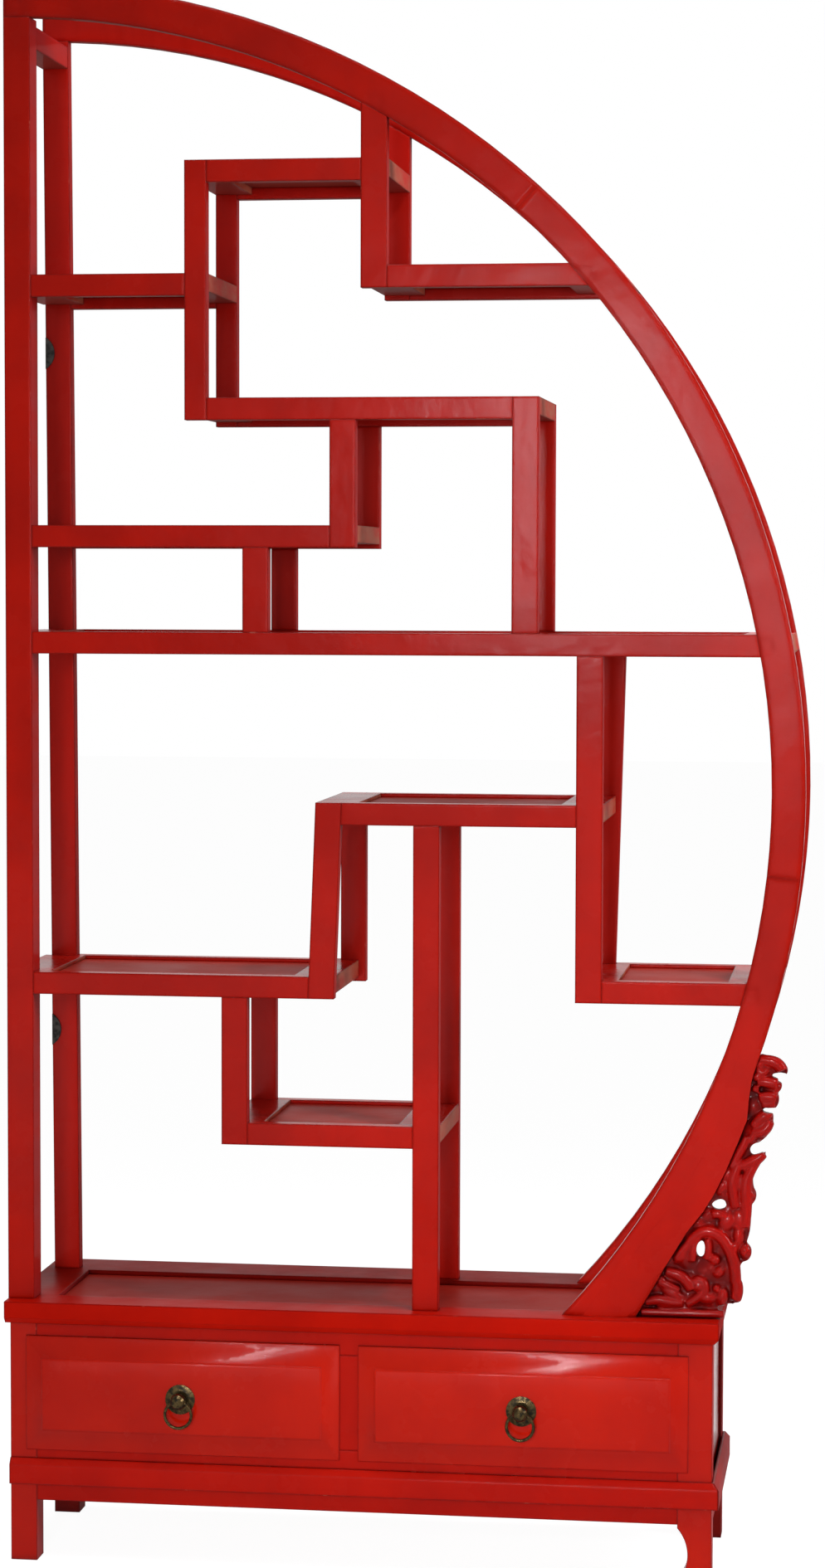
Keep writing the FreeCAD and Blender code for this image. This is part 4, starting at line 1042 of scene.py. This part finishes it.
@dataclass
class FlareFoot:
    """The full outer edge of the front rim's flared foot, beside the carving."""

    name: str = "flared_foot"
    body: str = "carcass"
    front_y: float = -0.11165
    rear_y: float = -0.0945
    inset_top: float = 0.024
    inset_foot: float = 0.056
    edge: Pairs = (
        (0.4537, 0.6793), (0.4500, 0.6662), (0.4425, 0.6374), (0.4396, 0.6140), (0.4377, 0.5905),
        (0.4276, 0.5642), (0.4124, 0.5273), (0.3971, 0.4956), (0.3843, 0.4744), (0.3638, 0.4476),
        (0.3381, 0.4049), (0.3149, 0.3780), (0.2994, 0.3539), (0.2899, 0.3381),
    )

    def outline(self) -> Sequence[Tuple[float, float]]:
        """The band's corners: down its outer edge and back up inside the rim.

        Returns:
            The corners across and up, in metres.
        """
        top, foot = self.edge[0][1], self.edge[-1][1]
        inner = []
        for x, z in reversed(self.edge):
            drop = (top - z) / (top - foot)
            inner.append((x - self.inset_top - (self.inset_foot - self.inset_top) * drop, z))
        return [*self.edge, *inner]

    def build(self, finishes: Finishes) -> bpy.types.Object:
        """Saw the band to its curve.

        Args:
            finishes: the finishes to use.

        Returns:
            The band.
        """
        shape = bpy.data.curves.new(self.name, "CURVE")
        shape.dimensions = "2D"
        shape.fill_mode = "BOTH"
        shape.extrude = (self.rear_y - self.front_y) / 2.0
        corners = self.outline()
        spline = shape.splines.new("POLY")
        spline.points.add(len(corners) - 1)
        for point, (x, z) in zip(spline.points, corners):
            point.co = (x, z, 0.0, 1.0)
        spline.use_cyclic_u = True
        band = enter(self.name, shape)
        band.rotation_euler = (QUARTER_TURN, 0.0, 0.0)
        band.location = (0.0, (self.front_y + self.rear_y) / 2.0, 0.0)
        only(band)
        bpy.ops.object.convert(target="MESH")
        band = bpy.context.object
        bpy.ops.object.transform_apply(location=True, rotation=True, scale=True)
        bpy.ops.object.mode_set(mode="EDIT")
        bpy.ops.mesh.select_all(action="SELECT")
        bpy.ops.mesh.remove_doubles(threshold=MERGE_DISTANCE)
        bpy.ops.mesh.normals_make_consistent(inside=False)
        bpy.ops.object.mode_set(mode="OBJECT")
        bpy.ops.object.shade_smooth_by_angle(angle=SMOOTH_ANGLE)
        finishes.dress(band, Slot.FLARE_LACQUER)
        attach(band, self.body)
        return band


@dataclass
class DrawerFront:
    """A lipped drawer front with a sloped border and a raised field."""

    side: str
    lip: float = 0.0016
    full: float = 0.0125
    overlap: float = 0.0002
    border: Pairs = ((0.0006, 0.0008), (0.0010, 0.0004), (0.0200, 0.0068))
    field_height: float = 0.90
    raised: Pairs = ((0.0005, 0.0013), (0.0010, 0.0009), (0.0022, 0.0005))
    front_cosine: float = 0.9

    def build(self, finishes: Finishes) -> bpy.types.Object:
        """Shape the front and put it in the node's place.

        Args:
            finishes: the finishes to use.

        Returns:
            The drawer front.
        """
        node = frame["nodes"][f"{self.side}_drawer_front"]
        low = [min(vertex.co[axis] for vertex in node.data.vertices) for axis in range(3)]
        high = [max(vertex.co[axis] for vertex in node.data.vertices) for axis in range(3)]
        seat = low[1] + self.full
        block = rear_of(node, "rear_block", seat - self.overlap)
        bpy.ops.object.select_all(action="DESELECT")
        middle = ((low[0] + high[0]) / 2.0, seat - self.lip / 2.0, (low[2] + high[2]) / 2.0)
        bpy.ops.mesh.primitive_cube_add(size=1.0, location=middle)
        slab = bpy.context.object
        slab.scale = (high[0] - low[0], self.lip, high[2] - low[2])
        bpy.ops.object.transform_apply(location=True, rotation=True, scale=True)
        self.shape_face(slab)
        block.select_set(True)
        bpy.context.view_layer.objects.active = slab
        bpy.ops.object.join()
        slab.name = f"{self.side}_lipped_front"
        bpy.ops.object.shade_smooth_by_angle(angle=SMOOTH_ANGLE)
        finishes.dress(slab, Slot.DRAWER_LACQUER)
        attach(slab, f"{self.side}_drawer")
        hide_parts(f"{self.side}_drawer_front")
        return slab

    def shape_face(self, slab: bpy.types.Object) -> None:
        """Slope the border and raise the field, step by step.

        Args:
            slab: the plain lipped board.
        """
        bpy.ops.object.mode_set(mode="EDIT")
        bpy.ops.mesh.select_mode(type="FACE")
        bpy.ops.mesh.select_all(action="DESELECT")
        bpy.ops.object.mode_set(mode="OBJECT")
        for face in slab.data.polygons:
            face.select = face.normal.y < -self.front_cosine
        bpy.ops.object.mode_set(mode="EDIT")
        for inwards, forwards in self.border:
            bpy.ops.mesh.inset(thickness=inwards, depth=forwards)
        bpy.ops.transform.resize(value=(1.0, 1.0, self.field_height))
        for inwards, forwards in self.raised:
            bpy.ops.mesh.inset(thickness=inwards, depth=forwards)
        bpy.ops.mesh.select_all(action="SELECT")
        bpy.ops.mesh.normals_make_consistent(inside=False)
        bpy.ops.object.mode_set(mode="OBJECT")


# Finishes that differ from the slot in the record, by the ending of a node's name or by the name.
ENDING_SLOTS: Dict[str, Slot] = {"_rim": Slot.RIM_LACQUER, "_shelf_frame": Slot.SHELF_LACQUER}
NODE_SLOTS: Dict[str, Slot] = {
    "front_left_leg": Slot.DRAWER_LACQUER,
    "front_right_leg": Slot.DRAWER_LACQUER,
    "aprons": Slot.CHEST_LACQUER,
    "base_moulding": Slot.CHEST_LACQUER,
    "centre_stile": Slot.CHEST_LACQUER,
    "chest_rails": Slot.CHEST_LACQUER,
    "rear_legs": Slot.CHEST_LACQUER,
    "deck_panel": Slot.DECK_LACQUER,
    "deck_frame": Slot.DECK_RAIL_LACQUER,
    "side_panels": Slot.SIDE_LACQUER,
}


def slot_of(node: str, stated: Slot) -> Slot:
    """Find the finish of a node.

    Args:
        node: the node's name.
        stated: the slot that the record gives it.

    Returns:
        The finish to use.
    """
    for ending, slot in ENDING_SLOTS.items():
        if node.endswith(ending):
            return slot
    return NODE_SLOTS.get(node, stated)


def dress_nodes(finishes: Finishes) -> None:
    """Give every node of the solid model its finish.

    Args:
        finishes: the finishes to use.
    """
    for row in frame["record"]["subparts"]:
        node = row["node"]
        slot = slot_of(node, Slot(row["material_slot"]))
        finishes.dress(frame["nodes"][node], slot)
        LOG.info("dressed %s in %s", node, slot.value)


def main() -> None:
    """Build the scene in order."""
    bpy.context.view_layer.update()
    bpy.context.scene.view_settings.view_transform = "Standard"
    bpy.ops.object.select_all(action="DESELECT")
    finishes = Finishes()
    finishes.build()
    dress_nodes(finishes)
    CarvedSpandrel().build(finishes)
    FlareFoot().build(finishes)
    for side in ("left", "right"):
        DrawerFront(side).build(finishes)
    Studio().build()


if __name__ == "__main__":
    main()
